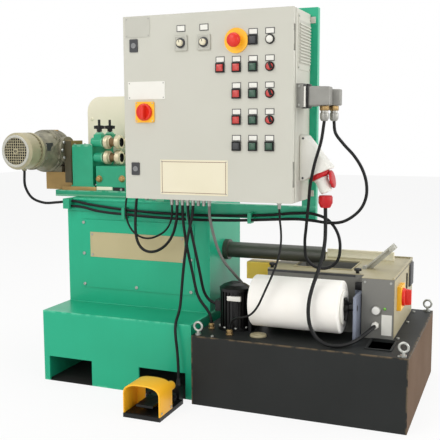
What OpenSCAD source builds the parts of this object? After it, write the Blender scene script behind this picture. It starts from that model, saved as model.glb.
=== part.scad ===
// Pipe grinding machine: a plinth and column with a roller feed, a control
// cabinet on a frame beside it, and a coolant tank with pump and paper filter.
// Millimetres, +Z up, +X along the front, +Y away from the operator.

/* [Plinth and column] */
// Width of the plinth
plinth_w = 594; // [560:1:605]
// Depth of the plinth
plinth_d = 660; // [560:1:760]
// Height of the plinth
plinth_h = 262; // [220:1:300]
// Thickness of the plinth's sheet
plinth_t = 8; // [5:1:12]
// Width of each fork pocket
pocket_w = 180; // [140:1:190]
// Height of each fork pocket
pocket_h = 92; // [70:1:110]
// Distance of each fork pocket from the plinth's side
pocket_inset = 22; // [16:1:40]
// How far the column stands in from the plinth's sides
column_inset = 3; // [0:1:10]
// How far the column's front stands behind the plinth's front
column_setback = 176; // [150:1:200]
// Depth of the column
column_d = 308; // [260:1:360]
// Height of the column
column_h = 350; // [300:1:400]
// Thickness of the bed on the column
bed_h = 48; // [30:1:70]
// Thickness of the column's front cover
cover_t = 4; // [2:1:8]

/* [Feed unit] */
// Thickness of the feed plate
feed_plate_t = 24; // [15:1:30]
// How far the feed plate stands behind the bed's front
feed_setback = 60; // [40:1:80]
// Depth of the feed plate
feed_plate_d = 180; // [170:1:200]
// How far the feed plate reaches out left of the plinth
feed_reach = 90; // [60:1:120]
// Diameter of the feed motor's cowl
cowl_d = 138; // [120:1:140]
// Length of the feed motor with its cowl
motor_len = 90; // [84:1:110]
// Height of the worm gearbox
gearbox_h = 166; // [150:1:170]
// Length of the worm gearbox along the motor's axis
gearbox_len = 194; // [180:1:204]
// Width of the worm gearbox across its flats
gearbox_w = 138; // [128:1:144]
// Height of the gear case
gear_case_h = 173; // [160:1:190]
// Width of the gear case
gear_case_w = 90; // [70:1:110]
// Diameter of the feed rollers' flanges
roller_d = 52; // [40:1:53]
// Diameter at the bottom of the rollers' groove
groove_d = 30; // [20:1:36]
// Length of a feed roller
roller_len = 70; // [60:1:80]
// Diameter of the roller shafts
roller_shaft_d = 20; // [14:1:24]
// Height of the feed line over the feed plate
feed_line_h = 157; // [150:1:170]
// Distance between the axes of an upper and a lower roller
roller_gap = 58; // [58:1:64]
// Distance between the front and the rear pair of rollers
roller_pitch = 80; // [65:1:100]

/* [Grinding head] */
// Width of the grinding head's guard
guard_w = 400; // [300:1:440]
// Height of the grinding head's guard
guard_h = 390; // [340:1:440]
// Depth of the grinding head's guard
guard_d = 170; // [140:1:200]
// Corner radius of the guard
guard_r = 60; // [20:1:80]
// Diameter of the tube passage through the guard
passage_d = 60; // [40:1:70]

/* [Cabinet] */
// Width of the cabinet
cab_w = 586; // [560:1:620]
// Height of the cabinet
cab_h = 600; // [590:1:640]
// Depth of the cabinet with its door
cab_d = 192; // [170:1:230]
// Distance of the cabinet's left side from the plinth's left side
cab_x = 364; // [350:1:380]
// Height of the cabinet over the bed
cab_lift = 28; // [20:1:60]
// Thickness of the cabinet's walls
cab_wall = 4; // [2:1:6]
// Depth of the door
door_depth = 20; // [18:1:26]
// Thickness of the door's sheet
door_sheet = 3; // [2:1:4]
// Gap between door and cabinet
door_gap = 7; // [6.5:0.5:10]
// Width of the bars of the cabinet's frame
frame_bar_w = 48; // [30:1:60]
// Depth of the bars of the cabinet's frame
frame_bar_d = 25; // [15:1:40]
// How far the frame stands out right of the cabinet
frame_reach = 25; // [10:1:40]
// How far the frame stands over the cabinet
frame_rise = 23; // [10:1:40]

/* [Door controls] */
// Distance between the rows of buttons
row_pitch = 82; // [70:1:85]
// Distance between the columns of buttons
column_pitch = 55; // [50:1:58]
// Width of a square push button
button_w = 30; // [22:1:34]
// Diameter of the emergency stop's disc
estop_disc_d = 78; // [60:1:79]
// Diameter of the emergency stop's button
estop_d = 44; // [36:1:56]
// Travel of the emergency stop's button
estop_travel = 4; // [3:0.5:6]
// Width of the main switch's plate
switch_plate_w = 68; // [56:1:80]
// Diameter of the main switch's handle
switch_d = 56; // [40:1:56]

/* [Tank] */
// Gap between plinth and tank
tank_gap = 16; // [8:1:30]
// Width of the tank
tank_w = 710; // [690:1:760]
// Depth of the tank
tank_d = 644; // [635:1:720]
// Height of the tank
tank_h = 237; // [200:1:280]
// Thickness of the tank's sheet
tank_t = 6; // [4:1:8]
// How far the tank's front stands before the plinth's front
tank_lead = 34; // [10:1:60]
// Diameter of the pump's motor
pump_d = 102; // [90:1:104]
// Height of the pump over the tank
pump_h = 161; // [140:1:180]

/* [Paper filter] */
// Width of the filter's body
filter_w = 444; // [430:1:460]
// Depth of the filter's body
filter_d = 375; // [340:1:380]
// Height of the filter's body
filter_h = 199; // [194:1:230]
// Width of the filter's drive housing
housing_w = 104; // [90:1:110]
// How far the drive housing stands before the body
housing_lead = 50; // [40:1:56]
// Diameter of the paper roll
roll_d = 188; // [150:1:188]
// Length of the paper roll
roll_len = 308; // [280:1:310]
// Diameter of the drain pipe
pipe_d = 58; // [50:1:66]
// Length of the drain pipe
pipe_len = 376; // [300:1:390]

/* [Foot pedal] */
// Width of the foot pedal
pedal_w = 132; // [110:1:150]
// Depth of the foot pedal's base
pedal_d = 176; // [160:1:190]
// Height of the foot pedal's hood
hood_h = 113; // [100:1:125]
// Thickness of the foot pedal's hood
hood_t = 5; // [3:1:6]

/* [Hidden] */
$fn = 48;
clear = 0.3;
shaft_play = 0.08;

// Levels and planes of the frame of reference, from the plinth's front left foot
bed_top = plinth_h + column_h + bed_h;
column_front = column_setback;
column_back = column_setback + column_d;
column_x0 = column_inset;
column_x1 = plinth_w - column_inset;
plate_top = bed_top + feed_plate_t;
feed_front = column_front + feed_setback;
feed_back = feed_front + feed_plate_d;

// Feed unit
case_x0 = -12;
case_x1 = case_x0 + gear_case_w;
case_front = feed_front + 4;
case_d = feed_plate_d - 20;
feed_z = plate_top + feed_line_h;
lower_z = feed_z - roller_gap / 2;
upper_z = feed_z + roller_gap / 2;
front_pair_y = feed_front + 26;
rear_pair_y = front_pair_y + roller_pitch;
bearing_len = 40;
bearing_d = 36;
screw_boss_h = 30;
roller_x0 = case_x1 + bearing_len + 6;
roller_x1 = roller_x0 + roller_len;
feed_x = (roller_x0 + roller_x1) / 2;
bracket_h = 68;
gearbox_z0 = plate_top + bracket_h;
motor_x = -142;
motor_z = gearbox_z0 + gearbox_h / 2 + 4;
gearbox_back = feed_front + 108;
gearbox_y0 = gearbox_back - gearbox_len;
bracket_y0 = gearbox_back - 82;
output_y = gearbox_back - 56;
motor_y0 = gearbox_y0 - motor_len;
motor_gland_y = 110;
motor_gland_z = motor_z - cowl_d / 2 - 4;
stand_h = lower_z - roller_d / 2 - 6 - plate_top;

// Cabinet
cab_z0 = bed_top + cab_lift;
cab_z1 = cab_z0 + cab_h;
cab_x1 = cab_x + cab_w;
cab_back = column_front;
door_front = cab_back - cab_d;
body_front = door_front + door_depth + door_gap;
hinge_x = cab_x1 - 7;
hinge_y = door_front + 7;
hinge_pin_d = 6;
hinge_arm_t = 5;
hinge_rise = 90;
knuckle_len = 40;
control_x0 = cab_x1 - 75;
control_z0 = cab_z1 - 94;
legend_h = 19;
legend_t = 1.5;
estop_x = control_x0 - 2 * column_pitch;
dial_x = control_x0 - 220;
dial_pitch = 80;
switch_x = cab_x + 78;
switch_z = cab_z0 + 288;
switch_plate_t = 6;
gland_y = column_front - 96;
gland_len = 28;
gland_z = cab_z0 - gland_len;

// Sockets on the cabinet's right side
conn_z = cab_z0 + 297;
conn_base_t = 28;
hood_x = cab_x1 + conn_base_t;
hood_y = body_front + 15;
hood_z = conn_z + 5;
conn_gland_z = hood_z - 46;
front_plug = [hood_x + 54, hood_y + 24];
rear_plug = [hood_x + 75, hood_y + 64];
socket_z = cab_z0 + 68;
socket_y = column_front - 84;
socket_w = 68;
socket_tilt = 24.5;
collar_x = cab_x1 + 57;
collar_z = socket_z + 20;
collar_t = 14;
plug_x = cab_x1 + 79;
plug_z = cab_z0 - 20;

// Glands on the bed and on the tank
bed_gland_y = column_front + 40;
bed_gland_x = [cab_x - 42, cab_x - 10];
bed_gland_h = 16;

// Tank, pump and filter
tank_x = plinth_w + tank_gap;
tank_x1 = tank_x + tank_w;
tank_y = -tank_lead;
tank_y1 = tank_y + tank_d;
pump_x = tank_x + 102;
pump_y = tank_y + 144;
filter_x1 = tank_x1 - 76;
filter_x0 = filter_x1 - filter_w;
filter_back = tank_y1 - 35;
filter_front = filter_back - filter_d;
filter_top = tank_h + filter_h;
housing_x0 = filter_x1 - housing_w;
housing_front = filter_front - housing_lead;
roll_y = filter_front - roll_d / 2 - 8;
roll_z = tank_h + roll_d / 2 + 15;
roll_x1 = housing_x0 - 42;
roll_x0 = roll_x1 - roll_len;
spindle_d = 20;
roll_bracket_t = 10;
bracket_x1 = housing_x0 - 3;
lever_t = 6;
lever_tilt = 47;
hatch_x0 = housing_x0 + 40;
hatch_w = 74;
hatch_y0 = tank_y + 62;
hatch_d = 110;
deck_gland = [tank_x + 30, tank_y + 104];
return_gland = [filter_x0 - 72, tank_y + 278];
level_gland = [tank_x + 116, tank_y + 54];
deck_gland_h = 21;
level_gland_h = 19;
pump_box_x = pump_x - 66;
pump_box_z = tank_h + 61;
pump_box_h = 36;
filter_gland = [filter_x1 - 57, housing_front - 20, tank_h + 46];
pipe_y = column_front + column_d / 2;
pipe_clear = 8;
pipe_z = filter_top + pipe_clear + pipe_d / 2;
pipe_t = 4;

// Foot pedal
pedal_x = 450;
pedal_back = -42;
pedal_y = pedal_back - pedal_d;
pedal_base_h = 14;
hood_len = 112;
pedal_hinge_y = pedal_back - 34;
pedal_hinge_z = 34;
pedal_pin_d = 8;
pedal_gland = [pedal_x + 110, pedal_back + 12];
pedal_gland_h = 58;

// The origin is the middle of the machine's footprint on the floor
lowest_x = motor_x - gearbox_w / 2;
origin_x = (lowest_x + tank_x1) / 2;
origin_y = (pedal_y + plinth_d) / 2;

// The row of glands under the cabinet
low_x = cab_x + 126;
low_pitch = 20;
low_count = 8;
level_gland_x = cab_x1 - 72;
function row_x(x0, k) = x0 + k * low_pitch;
glanded_x = concat([for (k = [0 : low_count - 1]) row_x(low_x, k)], [level_gland_x]);

// Routes of the cables, through points chosen along each run
cable_d = 10;
thin_cable_d = 7;
feed_motor_route = [[motor_x, motor_gland_y, motor_gland_z], [motor_x, motor_gland_y, motor_gland_z - 31],
    [-138, 114, 690], [-112, 130, 652], [-65, 150, 640],
    [9, 163, 650], [130, 163, 637], [260, 163, 625], [400, 163, 619], [520, 163, 617], [640, 163, 619],
    [750, 163, 624], [860, 163, 632], [955, 160, 640], [1012, 156, 628], [1052, 152, 588],
    [1066, 149, 530], [1052, 150, 480], [1005, 150, 458], [966, 140, 476], [956, 120, 525],
    [964, 98, 595], [980, 66, 680], [990, 46, 740], [1002, 42, 800], [1020, 46, 870],
    [front_plug.x, front_plug.y, conn_gland_z - 26],
    [front_plug.x, front_plug.y, conn_gland_z]];
connector_route = [[rear_plug.x, rear_plug.y, conn_gland_z], [rear_plug.x, rear_plug.y, conn_gland_z - 26],
    [1066, 93, 892], [1100, 99, 855], [1136, 106, 806],
    [1156, 112, 745], [1149, 118, 685], [1112, 126, 640], [1072, 131, 618], [1020, 137, 614],
    [955, 147, 620],
    [860, 151, 617], [750, 151, 609], [640, 151, 604], [520, 151, 602], [400, 151, 604], [260, 151, 610],
    [140, 155, 618], [90, 159, 627], [60, 161, 632], [30, 161, 632]];
filter_route = [[plug_x, socket_y, plug_z], [plug_x, socket_y, plug_z - 28],
    [1033, 88, 595], [1032, 78, 540], [1022, 55, 480],
    [1010, 18, 430], [1004, -10, 380], [1006, -18, 325], [1020, -20, 280], [1046, -20, 254],
    [1080, -14, 246], [1115, 10, 246], [1140, 45, 249], [1160, 80, 260], [1176, 102, 276],
    filter_gland - [0, 15, 0], filter_gland];
level_route = [[level_gland_x, gland_y, gland_z], [level_gland_x, gland_y, gland_z - 20],
    [884, 82, 600], [888, 78, 545], [884, 50, 490], [872, 15, 440],
    [856, -12, 390], [834, -18, 340], [804, -14, 300], [770, -2, 282], [744, 12, 284],
    [level_gland.x, level_gland.y, tank_h + level_gland_h + 20],
    [level_gland.x, level_gland.y, tank_h + level_gland_h]];
short_loop_route = [[row_x(low_x, 0), gland_y, gland_z], [row_x(low_x, 0), gland_y, gland_z - 24],
    [484, 84, 608], [460, 94, 570], [415, 106, 542],
    [370, 117, 532], [328, 124, 540], [297, 126, 568], [283, 126, 608], [286, 126, 650], [298, 134, 690],
    [312, 162, 714], [320, 196, 714], [bed_gland_x[0], bed_gland_y, bed_top + bed_gland_h + 24],
    [bed_gland_x[0], bed_gland_y, bed_top + bed_gland_h]];
long_loop_route = [[row_x(low_x, 1), gland_y, gland_z], [row_x(low_x, 1), gland_y, gland_z - 26],
    [506, 80, 598], [487, 84, 543], [446, 89, 503], [394, 94, 485],
    [354, 97, 496], [337, 98, 528], [335, 100, 580], [340, 106, 630], [344, 122, 680], [347, 152, 714],
    [350, 190, 720], [bed_gland_x[1], bed_gland_y, bed_top + bed_gland_h + 26],
    [bed_gland_x[1], bed_gland_y, bed_top + bed_gland_h]];
deck_route = [[row_x(low_x, 2), gland_y, gland_z], [row_x(low_x, 2), gland_y, gland_z - 26],
    [538, 80, 560], [552, 80, 490], [567, 80, 425], [577, 80, 370],
    [590, 79, 325], [610, 76, 300], [630, 72, 288], [deck_gland.x, deck_gland.y, tank_h + deck_gland_h + 18],
    [deck_gland.x, deck_gland.y, tank_h + deck_gland_h]];
pump_route = [[row_x(low_x, 3), gland_y, gland_z], [row_x(low_x, 3), gland_y, gland_z - 26],
    [560, 80, 580], [576, 80, 510], [592, 82, 445], [604, 88, 385],
    [608, 98, 345], [618, 108, 322], [pump_box_x - 14, pump_y, pump_box_z + pump_box_h / 2],
    [pump_box_x, pump_y, pump_box_z + pump_box_h / 2]];
pedal_route = [[row_x(low_x, 4), gland_y, gland_z], [row_x(low_x, 4), gland_y, gland_z - 22],
    [563, 66, 590], [552, 57, 520], [544, 54, 450], [538, 52, 380],
    [535, 48, 322], [535, 36, 288], [538, 14, 275], [543, -8, 266], [547, -20, 240], [552, -22, 195],
    [557, -24, 145], [560, -28, 105], [pedal_gland.x, pedal_gland.y, pedal_gland_h + 22],
    [pedal_gland.x, pedal_gland.y, pedal_gland_h]];
return_route = [[row_x(low_x, 7), gland_y, gland_z], [row_x(low_x, 7), gland_y, gland_z - 26],
    [636, 88, 585], [645, 102, 530], [662, 126, 468], [686, 160, 420],
    [706, 196, 378], [720, 228, 330], [return_gland.x, return_gland.y, tank_h + deck_gland_h + 26],
    [return_gland.x, return_gland.y, tank_h + deck_gland_h]];

// Colours
green = [0.20, 0.66, 0.52];
beige = [0.81, 0.81, 0.78];
cream = [0.90, 0.87, 0.74];
steel = [0.68, 0.68, 0.66];
dark = [0.16, 0.16, 0.17];
black = [0.08, 0.08, 0.08];
yellow = [0.95, 0.75, 0.12];
red = [0.80, 0.12, 0.10];
grey = [0.50, 0.51, 0.53];
tan = [0.72, 0.58, 0.35];
white = [0.95, 0.95, 0.93];

// Moves a piece from the plinth's corner to the machine's own frame
module placed() {
    translate([-origin_x, -origin_y, 0]) children();
}

// A block between two corners
module block(lo, hi) {
    translate(lo) cube(hi - lo);
}

// A round bar along X, Y or Z from a point
module bar_x(p, d, l) {
    translate(p) rotate([0, 90, 0]) cylinder(d = d, h = l);
}

module bar_y(p, d, l) {
    translate(p) rotate([-90, 0, 0]) cylinder(d = d, h = l);
}

module bar_z(p, d, l) {
    translate(p) cylinder(d = d, h = l);
}

// A rectangle with round corners, from its lower left corner
module round_rect(w, h, r) {
    translate([r, 0]) square([w - 2 * r, h]);
    translate([0, r]) square([w, h - 2 * r]);
    for (x = [r, w - r], y = [r, h - r]) translate([x, y]) circle(r = r);
}

// A plate with round corners that faces -Y, from its lower left back corner
module front_plate(p, w, h, t, r) {
    translate(p) rotate([90, 0, 0]) linear_extrude(t) round_rect(w, h, r);
}

// A smooth run through a route's points, with n steps between neighbours
function smooth_run(p, n) = concat([for (i = [0 : len(p) - 2], k = [0 : n - 1])
    let (t = k / n, a = p[max(i - 1, 0)], b = p[i], c = p[i + 1], d = p[min(i + 2, len(p) - 1)])
    0.5 * (2 * b + (c - a) * t + (2 * a - 5 * b + 4 * c - d) * t * t + (3 * b - a - 3 * c + d) * t * t * t)],
    [p[len(p) - 1]]);

function unit(v) = v / norm(v);

// The direction of a run at each point, along the route's own ends at its ends
function headings(route, run) = let (n = len(route) - 1, last = len(run) - 1)
    [for (i = [0 : last]) unit(i == 0 ? route[1] - route[0] :
        i == last ? route[n] - route[n - 1] : run[i + 1] - run[i - 1])];

// The upward direction of each ring, carried along the run from the ring before it
function ring_ups(ways, i, up) = i == len(ways) ? [] :
    let (u = unit(up - (up * ways[i]) * ways[i])) concat([u], ring_ups(ways, i + 1, u));

// A round cable along a route that starts vertically
module cable(route, d, steps) {
    run = smooth_run(route, steps);
    sides = 8;
    last = len(run) - 1;
    ways = headings(route, run);
    ups = ring_ups(ways, 0, [1, 0, 0]);
    points = [for (i = [0 : last]) let (v = cross(ways[i], ups[i])) for (k = [0 : sides - 1])
        run[i] + d / 2 * (cos(360 * k / sides) * ups[i] + sin(360 * k / sides) * v)];
    skin = [for (i = [0 : last - 1], k = [0 : sides - 1]) let (n = (k + 1) % sides)
        [i * sides + k, (i + 1) * sides + k, (i + 1) * sides + n, i * sides + n]];
    start_cap = [[for (k = [0 : sides - 1]) k]];
    end_cap = [[for (k = [0 : sides - 1]) last * sides + sides - 1 - k]];
    color(black) placed() polyhedron(points, concat(skin, start_cap, end_cap));
}

// Plinth, column and bed

module plinth() {
    color(green) placed() difference() {
        block([0, 0, 0], [plinth_w, plinth_d, plinth_h]);
        block([plinth_t, plinth_t, -1], [plinth_w - plinth_t, plinth_d - plinth_t, plinth_h - plinth_t]);
        for (x = [pocket_inset, plinth_w - pocket_inset - pocket_w])
            block([x, -1, -1], [x + pocket_w, plinth_d + 1, pocket_h]);
    }
}

module column() {
    color(green) placed()
        block([column_x0, column_front, plinth_h], [column_x1, column_back, plinth_h + column_h]);
}

module column_cover() {
    margin = 60;
    color(green) placed()
        front_plate([column_x0 + margin, column_front, plinth_h + 60], column_x1 - column_x0 - 2 * margin,
            column_h - 90, cover_t, 6);
}

module bed() {
    color(green) placed()
        block([column_x0, column_front, plinth_h + column_h], [column_x1, column_back, bed_top]);
}

module cabinet_frame() {
    x1 = cab_x1 + frame_reach;
    y1 = column_front + frame_bar_d;
    z0 = plinth_h + column_h;
    z1 = cab_z1 + frame_rise;
    color(green) placed() {
        block([column_x1, column_front, z0], [x1, y1, bed_top]);
        block([x1 - frame_bar_w, column_front, bed_top], [x1, y1, z1 - frame_bar_w]);
        block([cab_x + frame_bar_w, column_front, z1 - frame_bar_w], [x1, y1, z1]);
        block([cab_x + frame_bar_w, column_front, bed_top],
            [cab_x + 2 * frame_bar_w, y1, z1 - frame_bar_w]);
    }
}

// Feed unit

module feed_plate() {
    color(green) placed() block([-feed_reach, feed_front, bed_top], [roller_x1 + 30, feed_back, plate_top]);
}

module motor_bracket() {
    step = 26;
    upright_x0 = motor_x + gearbox_w / 2 + 12;
    upright_x1 = case_x0 - 18;
    upright_z1 = motor_z + 36;
    color(tan) placed() {
        block([motor_x - 8, bracket_y0, plate_top], [motor_x + 84, gearbox_back, gearbox_z0]);
        block([motor_x + 84, bracket_y0, plate_top], [case_x0 - 20, gearbox_back, plate_top + step]);
        difference() {
            block([upright_x0, bracket_y0, plate_top], [upright_x1, gearbox_back, upright_z1]);
            bar_x([upright_x0 - 1, output_y, motor_z], 48, upright_x1 - upright_x0 + 2);
        }
    }
}

module feed_motor() {
    fins = 28;
    fin_depth = 8;
    body_d = cowl_d - 10;
    cowl_len = motor_len - 28;
    flange_t = 14;
    grille_r = cowl_d / 2 - 15;
    hub_r = 12;
    fin_profile = [for (k = [0 : fins - 1], s = [0 : 3])
        (s == 0 || s == 3 ? body_d / 2 - fin_depth : body_d / 2)
        * [cos(360 * (k + (s < 2 ? 0.28 : 0.72)) / fins), sin(360 * (k + (s < 2 ? 0.28 : 0.72)) / fins)]];
    color(steel) placed() translate([motor_x, motor_y0, motor_z]) rotate([-90, 0, 0]) {
        rotate_extrude() polygon([[0, 2], [hub_r, 2], [hub_r, 5], [grille_r, 5], [grille_r, 0],
            [cowl_d / 2 - 10, 0], [cowl_d / 2, 10], [cowl_d / 2, cowl_len], [0, cowl_len]]);
        translate([0, 0, cowl_len]) linear_extrude(motor_len - cowl_len - flange_t) polygon(fin_profile);
        translate([0, 0, motor_len - flange_t]) cylinder(d = cowl_d, h = flange_t);
        translate([0, cowl_d / 2 - 4, motor_gland_y - motor_y0]) rotate([-90, 0, 0]) cylinder(d = 18, h = 8);
    }
}

module gearbox() {
    r = gearbox_h / 2;
    mid_z = gearbox_z0 + r;
    foot_h = 24;
    ribs = 4;
    first_rib = 88;
    rib_pitch = 21;
    rib_steps = [[r - 6, 0], [r, 4], [r, 11], [r - 6, 15]];
    boss_d = 104;
    boss_len = 12;
    shaft_d = 24;
    neck = [[0, 0], [r - 15, 0], [r - 13, 3], [r - 13, 13], [r - 19, 15], [r - 17, 40], [r - 6, 84]];
    rib_profile = [for (k = [0 : ribs - 1], s = rib_steps) s + [0, first_rib + k * rib_pitch]];
    tail = [[r - 8, gearbox_len - 16], [r - 18, gearbox_len], [0, gearbox_len]];
    color(steel) placed() {
        intersection() {
            translate([motor_x, gearbox_y0, mid_z]) rotate([-90, 0, 0]) rotate_extrude()
                polygon(concat(neck, rib_profile, tail));
            block([motor_x - gearbox_w / 2, gearbox_y0 - 1, gearbox_z0],
                [motor_x + gearbox_w / 2, gearbox_back + 1, gearbox_z0 + gearbox_h]);
        }
        block([motor_x - 8, bracket_y0 + 4, gearbox_z0],
            [motor_x + gearbox_w / 2 - 6, gearbox_back - 4, gearbox_z0 + foot_h]);
        bar_x([motor_x + gearbox_w / 2 - 12, output_y, motor_z], boss_d, boss_len + 12);
        bar_x([motor_x + gearbox_w / 2, output_y, motor_z], shaft_d, case_x0 - motor_x - gearbox_w / 2);
    }
}

module gear_case() {
    flange = 8;
    color(green) placed() difference() {
        union() {
            block([case_x0, case_front, plate_top], [case_x1, case_front + case_d, plate_top + gear_case_h]);
            block([case_x0 - flange, case_front, plate_top],
                [case_x1 + flange, case_front + case_d, plate_top + 20]);
            for (y = [front_pair_y, rear_pair_y], z = [lower_z, upper_z])
                bar_x([case_x1 - 10, y, z], bearing_d, bearing_len + 10);
            for (y = [front_pair_y, rear_pair_y])
                block([case_x1 + 4, y - 16, upper_z],
                    [case_x1 + bearing_len - 4, y + 16, upper_z + screw_boss_h]);
        }
        for (y = [front_pair_y, rear_pair_y], z = [lower_z, upper_z])
            bar_x([case_x1 - 30, y, z], roller_shaft_d + 2 * shaft_play, bearing_len + 40);
    }
}

module roller_stand() {
    color(green) placed()
        block([case_x1 + 16, feed_front + 2, plate_top],
            [roller_x1 + 24, feed_back - 10, plate_top + stand_h]);
}

// A grooved feed roller with its shaft, along X from its left face
module feed_roller(y, z) {
    flange = 18;
    r = roller_d / 2;
    g = groove_d / 2;
    slope = 5;
    rim = 3;
    face_r = r - 9;
    face_depth = 8;
    color(cream) placed() translate([roller_x0, y, z]) rotate([0, 90, 0]) {
        rotate_extrude() polygon([[0, 0], [r - rim, 0], [r, rim], [r, flange], [g + slope, flange + slope],
            [g, roller_len / 2], [g + slope, roller_len - flange - slope], [r, roller_len - flange],
            [r, roller_len - rim], [r - rim, roller_len], [face_r, roller_len],
            [face_r, roller_len - face_depth], [0, roller_len - face_depth]]);
        translate([0, 0, -bearing_len - 20]) cylinder(d = roller_shaft_d, h = bearing_len + 20);
    }
}

module lower_front_roller() { feed_roller(front_pair_y, lower_z); }
module upper_front_roller() { feed_roller(front_pair_y, upper_z); }
module lower_rear_roller() { feed_roller(rear_pair_y, lower_z); }
module upper_rear_roller() { feed_roller(rear_pair_y, upper_z); }

module adjusting_screws() {
    rod_d = 10;
    rod_h = 56;
    hub_d = 26;
    lobe_d = 16;
    lobe_r = 14;
    x = case_x1 + bearing_len / 2;
    z = upper_z + screw_boss_h;
    color(black) placed() for (y = [front_pair_y, rear_pair_y]) {
        bar_z([x, y, z], rod_d, rod_h);
        bar_z([x, y, z + 10], 2 * rod_d, 12);
        bar_z([x, y, z + 20], hub_d, 14);
        for (a = [0, 120, 240]) translate([x, y, z + 21]) rotate(a) bar_z([lobe_r, 0, 0], lobe_d, 12);
    }
}

module grinding_guard() {
    x0 = -56;
    y0 = feed_back + 14;
    color(cream) placed() difference() {
        translate([x0, y0 + guard_d, bed_top]) rotate([90, 0, 0]) linear_extrude(guard_d) {
            round_rect(guard_w, guard_h, guard_r);
            square([guard_w, guard_h / 2]);
        }
        bar_y([feed_x, y0 - 1, feed_z], passage_d, guard_d + 2);
    }
}

// Cabinet

module cabinet_body() {
    lug_reach = 18;
    lug_h = 20;
    lug_t = 5;
    lug_drop = 8;
    color(beige) placed() {
        difference() {
            block([cab_x, body_front, cab_z0], [cab_x1, cab_back, cab_z1]);
            block([cab_x + cab_wall, body_front - 1, cab_z0 + cab_wall],
                [cab_x1 - cab_wall, cab_back - cab_wall, cab_z1 - cab_wall]);
        }
        for (z = [cab_z0 + hinge_rise, cab_z1 - hinge_rise]) {
            arm_z = z - knuckle_len / 2 - clear - 8;
            half_t = hinge_arm_t / 2;
            bar_z([hinge_x, hinge_y, arm_z + 8], hinge_pin_d, knuckle_len);
            block([hinge_x - 26, hinge_y - half_t, arm_z], [hinge_x + half_t, hinge_y + half_t, arm_z + 8]);
            block([hinge_x - 26, hinge_y - half_t, arm_z], [hinge_x - 20, body_front + 40, arm_z + 8]);
            block([hinge_x - 26, body_front + 12, arm_z], [cab_x1 - cab_wall, body_front + 40, arm_z + 8]);
        }
        for (z = [cab_z0 + lug_drop, cab_z1 - lug_drop - lug_h])
            block([cab_x1 - 1, cab_back - lug_t, z], [cab_x1 + lug_reach, cab_back, z + lug_h]);
    }
}

module mounting_plate() {
    margin = 35;
    standoff = 12;
    plate_y = cab_back - cab_wall - standoff;
    color(tan) placed() {
        block([cab_x + margin, plate_y - 3, cab_z0 + margin], [cab_x1 - margin, plate_y, cab_z1 - margin]);
        for (x = [cab_x + 2 * margin, cab_x1 - 2 * margin], z = [cab_z0 + 2 * margin, cab_z1 - 2 * margin])
            bar_y([x, plate_y, z], 16, standoff);
    }
}

module cabinet_door() {
    back = door_front + door_depth;
    knuckle_d = 2 * (hinge_y - door_front) - 1;
    color(beige) placed() difference() {
        union() {
            difference() {
                block([cab_x, door_front, cab_z0], [cab_x1, back, cab_z1]);
                block([cab_x + door_sheet, door_front + door_sheet, cab_z0 + door_sheet],
                    [cab_x1 - door_sheet, back + 1, cab_z1 - door_sheet]);
                for (z = [cab_z0 + hinge_rise, cab_z1 - hinge_rise])
                    block([cab_x1 - door_sheet - 1, door_front + door_sheet, z - knuckle_len],
                        [cab_x1 + 1, back + 1, z + knuckle_len]);
            }
            for (z = [cab_z0 + hinge_rise, cab_z1 - hinge_rise])
                bar_z([hinge_x, hinge_y, z - knuckle_len / 2], knuckle_d, knuckle_len);
        }
        for (z = [cab_z0 + hinge_rise, cab_z1 - hinge_rise])
            bar_z([hinge_x, hinge_y, z - knuckle_len], hinge_pin_d + 2 * shaft_play, 2 * knuckle_len);
        bar_y([switch_x, door_front - 1, switch_z], 12, door_sheet + 2);
        bar_y([estop_x, door_front - 1, control_z0], 16, door_sheet + 2);
    }
}

function button_x(c) = control_x0 - c * column_pitch;
function row_z(r) = control_z0 - r * row_pitch;
square_buttons = [[1, 0], [1, 1], [2, 1], [3, 1], [1, 2], [2, 2], [1, 3], [2, 3], [0, 4], [1, 4], [2, 4]];
round_controls = [[0, 0], [0, 1], [0, 2], [0, 3]];

module push_buttons() {
    cap_w = button_w - 8;
    color(red) placed() for (b = square_buttons) {
        x = button_x(b[0]);
        z = row_z(b[1]);
        block([x - button_w / 2, door_front - 7, z - button_w / 2],
            [x + button_w / 2, door_front, z + button_w / 2]);
        block([x - cap_w / 2, door_front - 11, z - cap_w / 2],
            [x + cap_w / 2, door_front - 7, z + cap_w / 2]);
    }
}

module legend_plates() {
    color(white) placed() for (b = concat(square_buttons, round_controls))
        front_plate([button_x(b[0]) - button_w / 2, door_front, row_z(b[1]) + button_w / 2 + 1],
            button_w, legend_h, legend_t, 2);
}

module dials() {
    bezel = 44;
    color(grey) placed() for (k = [0, 1]) {
        x = dial_x - k * dial_pitch;
        front_plate([x - bezel / 2, door_front, control_z0 - bezel / 2 - 2], bezel, bezel + 4, 6, 4);
        bar_y([x, door_front - 20, control_z0], 24, 14);
        front_plate([x - button_w / 2, door_front, control_z0 + bezel / 2 + 14],
            button_w, legend_h + 2, 2, 2);
    }
}

module selectors() {
    color(dark) placed() for (b = round_controls) {
        bar_y([button_x(b[0]), door_front - 6, row_z(b[1])], button_w, 6);
        bar_y([button_x(b[0]), door_front - 14, row_z(b[1])], button_w - 8, 8);
    }
}

module switch_plates() {
    color(yellow) placed() {
        difference() {
            front_plate([switch_x - switch_plate_w / 2, door_front, switch_z - switch_plate_w / 2],
                switch_plate_w, switch_plate_w, switch_plate_t, 4);
            bar_y([switch_x, door_front - 20, switch_z], 10 + 2 * shaft_play, 40);
        }
        difference() {
            union() {
                bar_y([estop_x, door_front - 5, control_z0], estop_disc_d, 5);
                bar_y([estop_x, door_front - 12, control_z0], estop_d - 8, 7);
            }
            bar_y([estop_x, door_front - 20, control_z0], 14 + 2 * shaft_play, 40);
        }
    }
}

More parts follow.
